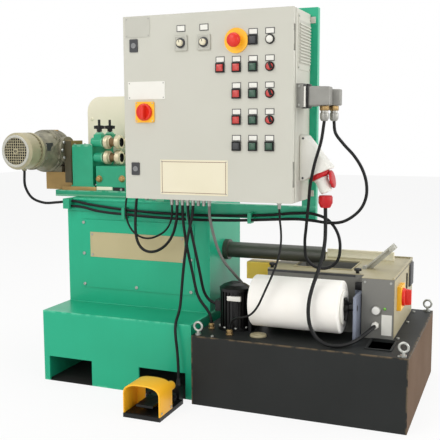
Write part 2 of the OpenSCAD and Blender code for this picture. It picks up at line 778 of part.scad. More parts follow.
module estop_button() {
    head_y = door_front - 12 - estop_travel - 6;
    color(red) placed() translate([estop_x, head_y, control_z0]) rotate([90, 0, 0]) {
        rotate_extrude() polygon([[0, 0], [estop_d / 2, 0], [estop_d / 2, 8], [estop_d / 2 - 4, 14],
            [estop_d / 2 - 12, 17], [0, 18]]);
        translate([0, 0, -24]) cylinder(d = 14, h = 24);
    }
}

module main_switch() {
    front = door_front - switch_plate_t - clear;
    color(red) placed() translate([switch_x, front, switch_z]) rotate([90, 0, 0]) {
        cylinder(d = switch_d, h = 10);
        translate([-8, -switch_d / 2 + 2, 10]) cube([16, switch_d - 4, 14]);
        translate([0, 0, -6]) cylinder(d = 10, h = 6);
    }
}

module door_locks() {
    color(dark) placed() for (z = [cab_z0 + 100, cab_z1 - 95])
        front_plate([cab_x + 24, door_front, z - 21], 30, 42, 3, 3);
}

module louvre_panel() {
    slots = 13;
    panel_z0 = cab_z1 - 184;
    panel_h = 168;
    color(beige) placed() {
        block([cab_x1, body_front + 20, panel_z0], [cab_x1 + 2, cab_back - 8, panel_z0 + panel_h]);
        for (k = [0 : slots - 1]) translate([cab_x1 + 2, body_front + 28, panel_z0 + 22 + k * 9.6])
            rotate([90, 0, 90]) linear_extrude(5) square([cab_back - body_front - 44, 4]);
    }
}

module connector_base() {
    base_h = 75;
    flange = 6;
    color(grey) placed() {
        block([cab_x1, hood_y - 7, conn_z], [hood_x - flange, cab_back - 60, conn_z + base_h]);
        block([hood_x - flange, hood_y, hood_z], [hood_x, cab_back - 65, hood_z + base_h - 15]);
    }
}

module connector_hoods() {
    front_w = 50;
    rear_w = 35;
    stem_d = 22;
    nut_d = 28;
    nut_h = 16;
    color(grey) placed() {
        block([hood_x, hood_y, hood_z], [hood_x + 74, hood_y + front_w, hood_z + 62]);
        block([hood_x, hood_y + front_w, hood_z], [hood_x + 96, hood_y + front_w + rear_w, hood_z + 55]);
        for (p = [front_plug, rear_plug]) {
            bar_z([p.x, p.y, conn_gland_z], stem_d, hood_z - conn_gland_z);
            bar_z([p.x, p.y, hood_z - nut_h - 6], nut_d, nut_h);
        }
    }
}

module power_socket() {
    y1 = socket_y + socket_w / 2;
    collar_d = 62;
    color(grey) placed() {
        translate([0, y1, 0]) rotate([90, 0, 0]) linear_extrude(socket_w)
            polygon([[cab_x1, socket_z], [cab_x1, socket_z + 146], [cab_x1 + 18, socket_z + 144],
                [cab_x1 + 102, socket_z + 41], [cab_x1 + 10, socket_z - 1]]);
        translate([collar_x, socket_y, collar_z]) rotate([0, -socket_tilt, 0])
            translate([0, 0, -collar_t]) cylinder(d = collar_d, h = collar_t + 8);
    }
}

module power_plug() {
    body_d = 42;
    body_len = 52;
    nut_d = 46;
    nut_h = 40;
    lid_t = 8;
    lid_w = 52;
    lid_len = 78;
    color(red) placed() {
        translate([collar_x, socket_y, collar_z]) rotate([0, -socket_tilt, 0]) {
            translate([0, 0, -collar_t - body_len]) cylinder(d = body_d, h = body_len);
            translate([34, -lid_w / 2, -lid_len]) cube([lid_t, lid_w, lid_len]);
        }
        bar_z([plug_x, socket_y, plug_z], nut_d, nut_h);
    }
}

module cable_glands() {
    color(grey) placed() {
        for (x = glanded_x) {
            bar_z([x, gland_y, gland_z], 12, gland_len);
            bar_z([x, gland_y, cab_z0 - 12], 17, 12);
        }
        for (x = bed_gland_x) bar_z([x, bed_gland_y, bed_top], 16, bed_gland_h);
    }
}

module cable_clips() {
    clip_y = column_front - 32;
    clip_w = 12;
    corner_z = bed_top - 38;
    color(black) placed() {
        block([column_x0, clip_y, corner_z], [column_x0 + 27, column_front, bed_top]);
        for (x = [260, 520]) block([x - clip_w / 2, clip_y, bed_top - 68],
            [x + clip_w / 2, column_front, bed_top - 26]);
        block([750 - clip_w / 2, clip_y, bed_top - 62], [750 + clip_w / 2, column_front, bed_top - 26]);
    }
}

// Foot pedal

module pedal_base() {
    lug_w = 16;
    color(black) placed() {
        block([pedal_x, pedal_y, 0], [pedal_x + pedal_w, pedal_back, pedal_base_h]);
        for (x = [pedal_x + 14, pedal_x + pedal_w - 30])
            difference() {
                block([x, pedal_hinge_y - 10, pedal_base_h],
                    [x + lug_w, pedal_hinge_y + 10, pedal_hinge_z + 10]);
                bar_x([x - 1, pedal_hinge_y, pedal_hinge_z], pedal_pin_d + 2 * shaft_play, lug_w + 2);
            }
        block([pedal_gland.x - 12, pedal_back - 10, 0],
            [pedal_gland.x + 12, pedal_gland.y + 10, pedal_gland_h]);
    }
}

module pedal_hood() {
    inner_w = pedal_w - 2 * hood_t;
    arch_h = hood_h - pedal_base_h;
    rear_h = arch_h - 20;
    knee = 40;
    lug_d = 30;
    lug_len = 26;
    color(yellow) placed() translate([pedal_x, pedal_y + hood_len, pedal_base_h]) {
        difference() {
            hood_form(pedal_w, arch_h, rear_h, hood_len, 34, knee);
            translate([hood_t, 1, -hood_t]) hood_form(inner_w, arch_h, rear_h, hood_len + 2, 30, knee);
        }
        translate([pedal_w - lug_d / 2 - 6, -4, rear_h - lug_d / 2 - 4]) rotate([-90, 0, 0])
            cylinder(d = lug_d, h = lug_len);
    }
}

// An arch that runs forward from its rear face and whose roof falls towards the rear
module hood_form(w, front_h, rear_h, len, r, knee) {
    intersection() {
        rotate([90, 0, 0]) linear_extrude(len) {
            round_rect(w, front_h, r);
            square([w, knee]);
        }
        rotate([90, 0, 90]) linear_extrude(w)
            polygon([[0, 0], [0, rear_h], [-len * 0.55, front_h], [-len, front_h], [-len, 0]]);
    }
}

module pedal_plate() {
    x0 = pedal_x + 36;
    x1 = pedal_x + pedal_w - 36;
    color(dark) placed() {
        bar_x([pedal_x + 10, pedal_hinge_y, pedal_hinge_z], pedal_pin_d, pedal_w - 20);
        block([x0, pedal_y + 22, pedal_hinge_z - 2], [x1, pedal_hinge_y, pedal_hinge_z + 6]);
    }
}

// Tank, pump and filter

module tank_tub() {
    color(dark) placed() difference() {
        block([tank_x, tank_y, 0], [tank_x1, tank_y1, tank_h - tank_t]);
        block([tank_x + tank_t, tank_y + tank_t, tank_t], [tank_x1 - tank_t, tank_y1 - tank_t, tank_h]);
    }
}

module tank_deck() {
    color(dark) placed() difference() {
        block([tank_x, tank_y, tank_h - tank_t], [tank_x1, tank_y1, tank_h]);
        block([hatch_x0, hatch_y0, tank_h - tank_t - 1],
            [hatch_x0 + hatch_w, hatch_y0 + hatch_d, tank_h + 1]);
    }
}

module eye_bolts() {
    inset = 18;
    color(steel) placed() for (x = [tank_x + inset, tank_x1 - inset],
        y = [tank_y + inset, tank_y1 - inset]) {
        bar_z([x, y, tank_h], 20, 6);
        bar_z([x, y, tank_h + 6], 10, 8);
        translate([x, y, tank_h + 29]) rotate([90, 0, 0]) rotate_extrude() translate([14, 0]) circle(d = 8);
    }
}

module deck_fittings() {
    color(tan) placed() {
        bar_z([level_gland.x, level_gland.y, tank_h], 20, level_gland_h);
        for (p = [deck_gland, return_gland]) bar_z([p.x, p.y, tank_h], 18, deck_gland_h);
        bar_z([tank_x + 210, tank_y + 76, tank_h], 56, 8);
    }
}

module coolant_pump() {
    fins = 24;
    body_h = pump_h - 36;
    r = pump_d / 2;
    fin_profile = [for (k = [0 : fins - 1], s = [0 : 3]) (s == 0 || s == 3 ? r - 6 : r)
        * [cos(360 * (k + (s < 2 ? 0.3 : 0.7)) / fins), sin(360 * (k + (s < 2 ? 0.3 : 0.7)) / fins)]];
    color(black) placed() {
        translate([pump_x, pump_y, tank_h]) {
            cylinder(r = r + 5, h = 10);
            translate([0, 0, 10]) linear_extrude(body_h) polygon(fin_profile);
            translate([0, 0, 10 + body_h]) rotate_extrude()
                polygon([[0, 0], [r + 2, 0], [r + 2, 10], [r - 12, 20],
                [r - 30, 26], [0, 26]]);
        }
        block([pump_box_x, pump_y - 20, pump_box_z], [pump_x - 30, pump_y + 20, pump_box_z + pump_box_h]);
    }
}

module filter_body() {
    tray = 60;
    color(grey) placed() difference() {
        union() {
            block([filter_x0, filter_front, tank_h], [filter_x1, filter_back, filter_top]);
            block([housing_x0, housing_front, tank_h], [filter_x1, filter_front, filter_top]);
        }
        block([filter_x0 + 80, filter_front + 60, filter_top - tray],
            [housing_x0 - 60, filter_back - 160, filter_top + 1]);
    }
}

module filter_trim() {
    panel_t = 10;
    knob_d = 24;
    lever_w = 26;
    lever_len = 132;
    box_w = 60;
    flap_t = 8;
    color(cream) placed() {
        block([filter_x0 + 140, filter_back - 85, filter_top],
            [filter_x1 - 55, filter_back - 85 + panel_t, filter_top + 34]);
        for (x = [filter_x0 + 12, housing_x0 - 28]) {
            bar_z([x, filter_front + 30, filter_top], knob_d / 2, 20);
            bar_z([x, filter_front + 30, filter_top + 9], knob_d, 10);
        }
        translate([housing_x0 - 24, filter_front + 100, filter_top + lever_t * sin(lever_tilt)])
            rotate([0, lever_tilt, 0]) {
                cube([lever_t, lever_w, lever_len]);
                translate([0, 0, lever_len - 22]) cube([lever_t + 14, lever_w, 22]);
            }
        block([filter_x0 - box_w, filter_front + 100, filter_top - box_w],
            [filter_x0, filter_front + 100 + box_w, filter_top]);
        block([filter_x1, filter_back - 95, filter_top - 88],
            [filter_x1 + flap_t, filter_back - 20, filter_top - 4]);
        bar_y(filter_gland, 20, housing_front - filter_gland.y);
    }
}

module roll_brackets() {
    color(dark) placed() for (x = [roll_x0 - 8 - roll_bracket_t, bracket_x1 - roll_bracket_t])
        difference() {
            block([x, roll_y - 20, tank_h], [x + roll_bracket_t, filter_front, roll_z + 40]);
            bar_x([x - 1, roll_y, roll_z], spindle_d + 2 * shaft_play, roll_bracket_t + 2);
        }
}

module paper_roll() {
    color(white) placed() {
        bar_x([roll_x0, roll_y, roll_z], roll_d, roll_len);
        bar_x([roll_x0 - 8 - roll_bracket_t, roll_y, roll_z], spindle_d,
            bracket_x1 - roll_x0 + 8 + roll_bracket_t);
        bar_x([roll_x1, roll_y, roll_z], 112, 8);
    }
}

module filter_switch_plate() {
    color(yellow) placed() difference() {
        block([filter_x1, filter_front + 10, tank_h + 85],
            [filter_x1 + 14, filter_front + 90, tank_h + 165]);
        bar_x([filter_x1 - 1, filter_front + 50, tank_h + 125], 10 + 2 * shaft_play, 20);
    }
}

module filter_switch() {
    handle = [filter_x1 + 14 + clear, filter_front + 50, tank_h + 125];
    color(red) placed() translate(handle) rotate([0, 90, 0]) {
        cylinder(d = 60, h = 10);
        translate([-28, -8, 10]) cube([56, 16, 18]);
        translate([0, 0, -8]) cylinder(d = 10, h = 8);
    }
}

module drain_pipe() {
    color(grey) placed() difference() {
        union() {
            bar_x([column_x1, pipe_y, pipe_z], pipe_d, pipe_len);
            bar_x([column_x1, pipe_y, pipe_z], pipe_d + 18, 18);
        }
        bar_x([column_x1 + 30, pipe_y, pipe_z], pipe_d - 2 * pipe_t, pipe_len);
    }
}

module feed_motor_cable() { cable(feed_motor_route, cable_d, 2); }
module connector_cable() { cable(connector_route, cable_d, 2); }
module filter_cable() { cable(filter_route, cable_d + 2, 2); }
module level_cable() { cable(level_route, thin_cable_d, 3); }
module short_loop_cable() { cable(short_loop_route, thin_cable_d, 3); }
module long_loop_cable() { cable(long_loop_route, cable_d, 2); }
module deck_cable() { cable(deck_route, cable_d, 2); }
module pump_cable() { cable(pump_route, cable_d, 2); }
module pedal_cable() { cable(pedal_route, cable_d, 2); }
module return_cable() { cable(return_route, cable_d, 2); }

plinth();
column();
column_cover();
bed();
cabinet_frame();
feed_plate();
motor_bracket();
feed_motor();
gearbox();
gear_case();
roller_stand();
lower_front_roller();
upper_front_roller();
lower_rear_roller();
upper_rear_roller();
adjusting_screws();
grinding_guard();
cabinet_body();
mounting_plate();
cabinet_door();
push_buttons();
legend_plates();
dials();
selectors();
switch_plates();
estop_button();
main_switch();
door_locks();
louvre_panel();
connector_base();
connector_hoods();
power_socket();
power_plug();
cable_glands();
cable_clips();
pedal_base();
pedal_hood();
pedal_plate();
tank_tub();
tank_deck();
eye_bolts();
deck_fittings();
coolant_pump();
filter_body();
filter_trim();
roll_brackets();
paper_roll();
filter_switch_plate();
filter_switch();
drain_pipe();
feed_motor_cable();
connector_cable();
filter_cable();
level_cable();
short_loop_cable();
long_loop_cable();
deck_cable();
pump_cable();
pedal_cable();
return_cable();
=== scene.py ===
"""Looks of a pipe grinding machine with roller feed, control cabinet and coolant tank.

Sizes are workshop millimetres from the plinth's front left foot: X to the right,
Y away from the operator and Z up. They become metres in the part's own frame.
"""

from __future__ import annotations

import logging
import math
from dataclasses import dataclass
from enum import Enum
from itertools import product
from typing import Callable, ClassVar, Iterable, Mapping, Sequence

import bpy
from mathutils import Matrix, Vector

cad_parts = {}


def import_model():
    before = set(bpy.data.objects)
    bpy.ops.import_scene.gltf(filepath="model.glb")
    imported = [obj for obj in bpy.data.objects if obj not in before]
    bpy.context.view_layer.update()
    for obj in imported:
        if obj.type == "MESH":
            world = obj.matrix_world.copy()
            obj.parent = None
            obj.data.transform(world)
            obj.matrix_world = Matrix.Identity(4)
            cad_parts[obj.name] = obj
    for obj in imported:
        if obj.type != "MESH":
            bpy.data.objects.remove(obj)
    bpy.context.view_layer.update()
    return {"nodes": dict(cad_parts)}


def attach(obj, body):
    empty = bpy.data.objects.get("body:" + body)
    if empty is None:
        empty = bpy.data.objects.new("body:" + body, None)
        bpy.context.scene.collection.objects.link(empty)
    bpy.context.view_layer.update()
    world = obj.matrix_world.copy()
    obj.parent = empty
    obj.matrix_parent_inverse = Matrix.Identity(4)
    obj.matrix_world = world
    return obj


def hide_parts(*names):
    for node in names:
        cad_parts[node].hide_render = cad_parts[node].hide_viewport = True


LOG = logging.getLogger("pipe_grinder")
MM = 0.001
ORIGIN = Vector((554.5, 221.0, 0.0))
WHITE = (1.0, 1.0, 1.0, 1.0)
EIGHTHS = tuple(math.tau * (k + 0.5) / 8 for k in range(8))

Obj = bpy.types.Object
Socket = bpy.types.NodeSocket
Spot = tuple[float, float, float]
Box = tuple[Spot, Spot]
Profile = Sequence[tuple[float, float]]
FaceTest = Callable[[Vector, Vector], bool]


def at(x: float, y: float, z: float) -> Vector:
    """Return a workshop point in the part's own frame, in metres."""
    return (Vector((x, y, z)) - ORIGIN) * MM


def tone(code: str) -> tuple[float, float, float, float]:
    """Turn a colour code into the linear colour that shaders use.

    Args:
        code: six hexadecimal digits, as a paint shop would note them.

    Returns:
        Linear red, green and blue, and full opacity.
    """
    parts = [int(code[i : i + 2], 16) / 255 for i in (0, 2, 4)]
    bent = [c / 12.92 if c <= 0.04045 else ((c + 0.055) / 1.055) ** 2.4 for c in parts]
    return (bent[0], bent[1], bent[2], 1.0)


class Way(Enum):
    """A direction along one of the machine's axes."""

    RIGHT = (1, 0, 0)
    BACK = (0, 1, 0)
    FRONT = (0, -1, 0)
    UP = (0, 0, 1)
    DOWN = (0, 0, -1)

    def vector(self) -> Vector:
        """Return the direction as a vector of length one."""
        return Vector(self.value)


class Body(Enum):
    """The bodies of the machine that pieces ride on."""

    MACHINE = "machine"
    DOOR = "door"
    MAIN_SWITCH = "main_switch"
    ESTOP = "estop"
    PAPER_ROLL = "paper_roll"
    PEDAL = "pedal"
    FILTER_SWITCH = "filter_switch"
    LOWER_FRONT = "lower_front_roller"
    UPPER_FRONT = "upper_front_roller"
    LOWER_REAR = "lower_rear_roller"
    UPPER_REAR = "upper_rear_roller"


@dataclass(frozen=True)
class Shading:
    """Adds nodes to one node tree and links or sets their inputs."""

    tree: bpy.types.NodeTree

    def feed(self, node: bpy.types.Node, inputs: Mapping[str | int, object]) -> bpy.types.Node:
        """Link each input that is given as a socket and set each other one.

        Args:
            node: the node that takes the inputs.
            inputs: sockets or plain values, by name or number.

        Returns:
            The same node.
        """
        for key, source in inputs.items():
            if isinstance(source, Socket):
                self.tree.links.new(source, node.inputs[key])
            else:
                node.inputs[key].default_value = source
        return node

    def add(self, kind: str, inputs: Mapping[str | int, object] | None = None,
            **settings: str) -> bpy.types.Node:
        """Add a node.

        Args:
            kind: the node's type, without the words that all types begin with.
            inputs: what goes into it, by name or number.
            settings: the node's own options.

        Returns:
            The new node.
        """
        node = self.tree.nodes.new("ShaderNode" + kind)
        for key, value in settings.items():
            setattr(node, key, value)
        return self.feed(node, inputs or {})

    def place(self) -> Socket:
        """Return where a point lies on the object."""
        return self.add("TexCoord").outputs["Object"]

    def noise(self, place: Socket, scale: float, detail: float) -> Socket:
        """Return a cloud pattern at a place and scale."""
        return self.add("TexNoise",
                        {"Vector": place, "Scale": scale, "Detail": detail}).outputs["Fac"]

    def mapped(self, place: Socket, stretch: Spot) -> Socket:
        """Return a place with its three directions stretched."""
        return self.add("Mapping", {"Vector": place, "Scale": stretch}).outputs["Vector"]

    def ramp(self, value: Socket, low: float, high: float, top: float = 1.0,
             kind: str = "LINEAR") -> Socket:
        """Return a value that rises from nothing at low to top at high."""
        spread = {"Value": value, "From Min": low, "From Max": high, "To Max": top}
        return self.add("MapRange", spread, interpolation_type=kind).outputs["Result"]

    def mix(self, factor: Socket, first: object, second: object) -> Socket:
        """Blend two colours, each a socket or a plain colour, by a factor."""
        return self.add("Mix", {0: factor, 6: first, 7: second}, data_type="RGBA").outputs[2]

    def calc(self, kind: str, first: Socket, second: Socket | float = 0.0) -> Socket:
        """Return one sum of a socket and a second socket or number."""
        return self.add("Math", {0: first, 1: second}, operation=kind).outputs[0]

    def looked_at(self) -> Socket:
        """Tell rays from the eye, off metal or through glass from all others.

        Returns:
            One for such rays, nothing for others.
        """
        rays = self.add("LightPath").outputs
        seen = self.calc("MAXIMUM", rays["Is Camera Ray"], rays["Is Glossy Ray"])
        return self.calc("MAXIMUM", seen, rays["Is Transmission Ray"])

    def blend(self, share: Socket, first: Socket, second: Socket, end: str) -> None:
        """Blend two shaders by a share and lead them to the tree's end."""
        both = self.add("MixShader", {0: share, 1: first, 2: second})
        self.feed(self.tree.nodes[end], {"Surface": both.outputs["Shader"]})


@dataclass(frozen=True)
class WearAndHighlightEdge:
    """An edge where paint is rubbed and where a painted highlight lies: two planes that meet there,
    each an axis and a level.
    """

    first: tuple[int, float]
    second: tuple[int, float]
    width: float = 5.0


@dataclass(frozen=True)
class Finish:
    """A surface finish: two tones in soft blotches, a grain, a bump, and edges with rubbed paint
    and painted highlight.
    """

    name: str
    slot: str
    colour: str
    shade: str
    rough: float = 0.45
    metal: float = 0.0
    blotch: float = 6.0
    grain: float = 420.0
    bump: float = 0.12
    stretch: Spot = (1.0, 1.0, 1.0)
    coat: float = 0.0
    edge_wear_and_highlight: str = "d8d8d0"
    edges: tuple[WearAndHighlightEdge, ...] = ()
    streak: float = 0.0
    gloss: float = 0.5

    COAT_ROUGH: ClassVar[float] = 0.12
    BUMP_DEPTH: ClassVar[float] = 0.001
    SMOOTHER: ClassVar[float] = 0.09
    ROUGHER: ClassVar[float] = 0.12
    STREAK_STRETCH: ClassVar[Spot] = (40.0, 40.0, 2.2)

    def material(self) -> bpy.types.Material:
        """Return this finish's material, made at its first use."""
        return bpy.data.materials.get(self.name) or self._make()

    def _make(self) -> bpy.types.Material:
        """Build the finish's node tree.

        Returns:
            The new material.
        """
        made = bpy.data.materials.new(self.name)
        made.use_nodes = True
        kit = Shading(made.node_tree)
        place = kit.place()
        patches = kit.noise(place, self.blotch, 4.0)
        colour = kit.mix(patches, tone(self.colour), tone(self.shade))
        if self.streak:
            runs = kit.noise(kit.mapped(place, self.STREAK_STRETCH), 1.0, 3.0)
            colour = kit.mix(kit.ramp(runs, 0.52, 0.78, self.streak), colour, tone(self.shade))
        if self.edges:
            colour = kit.mix(self._wear_and_highlight_edges(kit, place), colour, tone(self.edge_wear_and_highlight))
        rough = kit.add("MapRange", {
            "Value": patches, "To Min": max(self.rough - self.SMOOTHER, 0.03),
            "To Max": min(self.rough + self.ROUGHER, 1.0)})
        fine = kit.noise(kit.mapped(place, self.stretch), self.grain, 2.0)
        relief = kit.add("Bump",
                         {"Strength": self.bump, "Distance": self.BUMP_DEPTH, "Height": fine})
        inputs = {"Metallic": self.metal, "Specular IOR Level": self.gloss, "Base Color": colour,
                  "Roughness": rough.outputs["Result"], "Normal": relief.outputs["Normal"]}
        if self.coat:
            inputs |= {"Coat Weight": self.coat, "Coat Roughness": self.COAT_ROUGH}
        kit.feed(made.node_tree.nodes["Principled BSDF"], inputs)
        return made

    def _wear_and_highlight_edges(self, kit: Shading, place: Socket) -> Socket:
        """Find where the paint is rubbed through and where edges carry a painted highlight.

        Args:
            kit: the material's node tree.
            place: where a point lies on the object.

        Returns:
            One along those edges, in chips, and nothing elsewhere.
        """
        split = kit.add("SeparateXYZ", {"Vector": place})
        near: list[Socket] = []
        for edge in self.edges:
            gaps = []
            for axis, level in (edge.first, edge.second):
                off = kit.calc("SUBTRACT", split.outputs[axis], (level - ORIGIN[axis]) * MM)
                gaps.append(kit.calc("ABSOLUTE", off))
            off = kit.calc("MAXIMUM", *gaps)
            near.append(kit.ramp(off, edge.width * MM, 0.0, kind="SMOOTHSTEP"))
        total = near[0]
        for other in near[1:]:
            total = kit.calc("MAXIMUM", total, other)
        chips = kit.ramp(kit.noise(place, 38.0, 6.0), 0.4, 0.56, 0.85)
        return kit.calc("MULTIPLY", total, chips)


# The mint edge tone is a painted highlight along rubbed edges.
GREEN = Finish("green_enamel", "green_paint", "22b289", "1ca47c", 0.34, 0.0, 5.0, 260, 0.07,
               coat=0.1, edge_wear_and_highlight="5fc9a2", streak=0.25, gloss=0.3, edges=(
                   WearAndHighlightEdge((2, 262), (1, 0), 9), WearAndHighlightEdge((2, 262), (0, 591), 9),
                   WearAndHighlightEdge((2, 660), (1, 176), 6), WearAndHighlightEdge((2, 0), (1, 0), 9),
                   WearAndHighlightEdge((2, 1311), (0, 975), 6), WearAndHighlightEdge((0, 3), (1, 176), 2.8)))
# The pale mint edge tone is a painted highlight along rubbed edges.
GREEN_UNIT = Finish("green_unit_enamel", "green_paint", "2cab82", "21926d", 0.38, 0.0, 14.0, 300,
                    0.14, coat=0.1, gloss=0.35, edge_wear_and_highlight="8cc9ab", edges=(
                        WearAndHighlightEdge((2, 684), (1, 236), 6), WearAndHighlightEdge((2, 857), (1, 240), 6)))
MINT = Finish("mint_enamel", "green_paint", "7cc3a0", "5aa884", 0.4, 0.0, 20.0, 300, 0.12)
CABINET = Finish("cabinet_powder", "cabinet_paint", "cac9be", "c2c1b4", 0.55, 0.0, 4.0, 900, 0.22)
CREAM = Finish("cream_enamel", "cream_paint", "f9f3dc", "eee7cb", 0.42, 0.0, 6.0, 320, 0.08,
               coat=0.15)
PLATE_CREAM = Finish("cream_plate", "white_plastic", "e6dfc6", "ddd5b8", 0.36, 0.0, 9.0, 500, 0.05)
# A lighter cream: painted light on the filter's shaded rear panel.
CREAM_PAINTED_LIGHT = Finish("cream_painted_light", "cream_paint", "fff8e2", "f4edd4", 0.4, 0.0, 9.0, 400, 0.06)
PLATE_GREY = Finish("grey_plate", "zinc_sheet", "bfbeb3", "b1b0a5", 0.48, 0.1, 9.0, 500, 0.08)
PLATE_TAN = Finish("tan_plate", "white_plastic", "c2b58c", "b4a77d", 0.4, 0.0, 7.0, 500, 0.05)
BROWN = Finish("brown_line", "yellow_zinc", "7a4a35", "6a3d2b", 0.5, 0.0, 9.0, 500, 0.05)
TANK = Finish("tank_enamel", "dark_paint", "242625", "1c1e1d", 0.55, 0.0, 5.0, 320, 0.12,
              edge_wear_and_highlight="6f5f48", streak=0.3, gloss=0.25, edges=(
                  WearAndHighlightEdge((2, 237), (1, -34), 7), WearAndHighlightEdge((2, 237), (0, 1320), 8),
                  WearAndHighlightEdge((0, 1320), (1, -34), 7), WearAndHighlightEdge((0, 610), (1, -34), 6)))
# A lighter brown for the tank's right side: painted side light.
TANK_LIT_SIDE = Finish("tank_side_painted_light", "dark_paint", "5c3d17", "4a3112", 0.6, 0.0, 5.0, 320, 0.12,
                   gloss=0.25)
BLACK_PAINT = Finish("black_enamel", "black_paint", "101010", "0a0a0a", 0.36, 0.0, 12.0, 320, 0.12,
                     coat=0.1, gloss=0.3)
GREY_PAINT = Finish("grey_enamel", "grey_paint", "7d7c77", "74736c", 0.45, 0.0, 6.0, 420, 0.1)
OLIVE = Finish("olive_sheet", "grey_paint", "b3a988", "9d9474", 0.45, 0.0, 7.0, 420, 0.1)
# Dark olive that paints shade on the bracket's upright.
OLIVE_PAINTED_SHADE = Finish("olive_painted_shade", "yellow_zinc", "59533a", "3a3522", 0.5, 0.1, 20.0, 300, 0.3)
PIPE = Finish("pipe_grey", "grey_paint", "4a4b41", "3c3d35", 0.4, 0.0, 12.0, 300, 0.15)
CAST = Finish("cast_housing", "cast_aluminium", "a29d84", "3a382e", 0.5, 0.15, 34.0, 150, 0.9)
COWL = Finish("cowl_aluminium", "cast_aluminium", "bfb596", "8f8a6c", 0.45, 0.2, 14.0, 260, 0.25)
STEEL = Finish("turned_steel", "roller_steel", "d9cfb2", "c3b793", 0.32, 0.35, 22.0, 120, 0.2,
               stretch=(14.0, 1.0, 1.0))
GROOVE = Finish("worn_groove", "roller_steel", "7a6038", "5b4526", 0.5, 0.3, 40.0, 160, 0.3,
                stretch=(14.0, 1.0, 1.0))
BLUE_SHEET = Finish("blue_zinc_sheet", "zinc_sheet", "8f96a6", "757b8a", 0.42, 0.3, 24.0, 260, 0.1)
ZINC = Finish("zinc_plated", "zinc_sheet", "b9bab4", "a0a19b", 0.36, 0.75, 32.0, 260, 0.12)
PASSIVATED = Finish("yellow_passivated", "yellow_zinc", "b08f55", "8c7448", 0.42, 0.5, 18.0, 200,
                    0.2, stretch=(1.0, 1.0, 6.0))
BRASS = Finish("brass_turned", "brass_fitting", "b4976a", "8f7548", 0.4, 0.8, 40.0, 260, 0.12)
NICKEL = Finish("nickel_gland", "zinc_sheet", "aeada6", "8d8c86", 0.32, 0.8, 40.0, 260, 0.1)
GREY_CAST = Finish("grey_die_cast", "grey_metal", "96958f", "83827c", 0.5, 0.2, 20.0, 300, 0.25)
GREY_PLASTIC = Finish("grey_moulding", "grey_plastic", "8b8c8c", "7e7f80", 0.5, 0.0, 12.0, 520, 0.1)
DARK_PLASTIC = Finish("dark_moulding", "black_plastic", "3b3c3e", "303133", 0.48, 0.0, 12.0, 520,
                      0.1)
BLACK_PLASTIC = Finish("black_moulding", "black_plastic", "151515", "0e0e0e", 0.42, 0.0, 12.0, 520,
                       0.12, gloss=0.3)
WHITE_PLASTIC = Finish("white_laminate", "white_plastic", "ecebe3", "e0ded4", 0.38, 0.0, 12.0, 520,
                       0.05)
YELLOW = Finish("yellow_moulding", "yellow_plastic", "ffc832", "ffb41e", 0.36, 0.0, 9.0, 420, 0.08,
                coat=0.08, gloss=0.35)
# A lighter copy of the yellow moulding: painted light against the cabinet's shadow on the box.
YELLOW_PAINTED_LIGHT = Finish("yellow_moulding_painted_light", "yellow_plastic", "ffe26a", "ffd044", 0.38, 0.0,
                       9.0, 420, 0.08, coat=0.05, gloss=0.3)
RED = Finish("red_moulding", "red_plastic", "e62e1a", "d02413", 0.32, 0.0, 14.0, 420, 0.05,
             coat=0.12, gloss=0.35)
PLUG_RED = Finish("plug_red", "red_plastic", "c4141c", "ad0f16", 0.36, 0.0, 14.0, 420, 0.06,
                  coat=0.1, gloss=0.3)
RED_CAP = Finish("red_button", "red_plastic", "c8352c", "b42820", 0.3, 0.0, 30.0, 420, 0.04,
                 coat=0.3)
GREEN_LAMP = Finish("green_lamp_lens", "green_paint", "7cc050", "68a843", 0.25, 0.0, 30.0, 420,
                    0.03)
GREEN_CAP = Finish("green_button", "green_paint", "1d5138", "153f2b", 0.3, 0.0, 30.0, 420, 0.04,
                   coat=0.3)
RUBBER = Finish("cable_sheath", "black_rubber", "0d0d0d", "080808", 0.46, 0.0, 30.0, 700, 0.15,
                gloss=0.25)
GREY_SHEATH = Finish("grey_cable_sheath", "black_rubber", "74746f", "63635e", 0.5, 0.0, 40.0, 500,
                     0.3)
PALE_SEAL = Finish("pale_door_seal", "black_rubber", "b4b3aa", "a6a59c", 0.6, 0.0, 30.0, 500, 0.15)
PAPER = Finish("filter_paper", "paper", "fffdf8", "f8f4eb", 0.9, 0.0, 10.0, 900, 0.35,
               stretch=(1.0, 3.0, 3.0))
GLASS = Finish("gauge_face", "white_plastic", "f1f0ea", "e6e4dc", 0.16, 0.0, 9.0, 500, 0.02,
               coat=0.6)


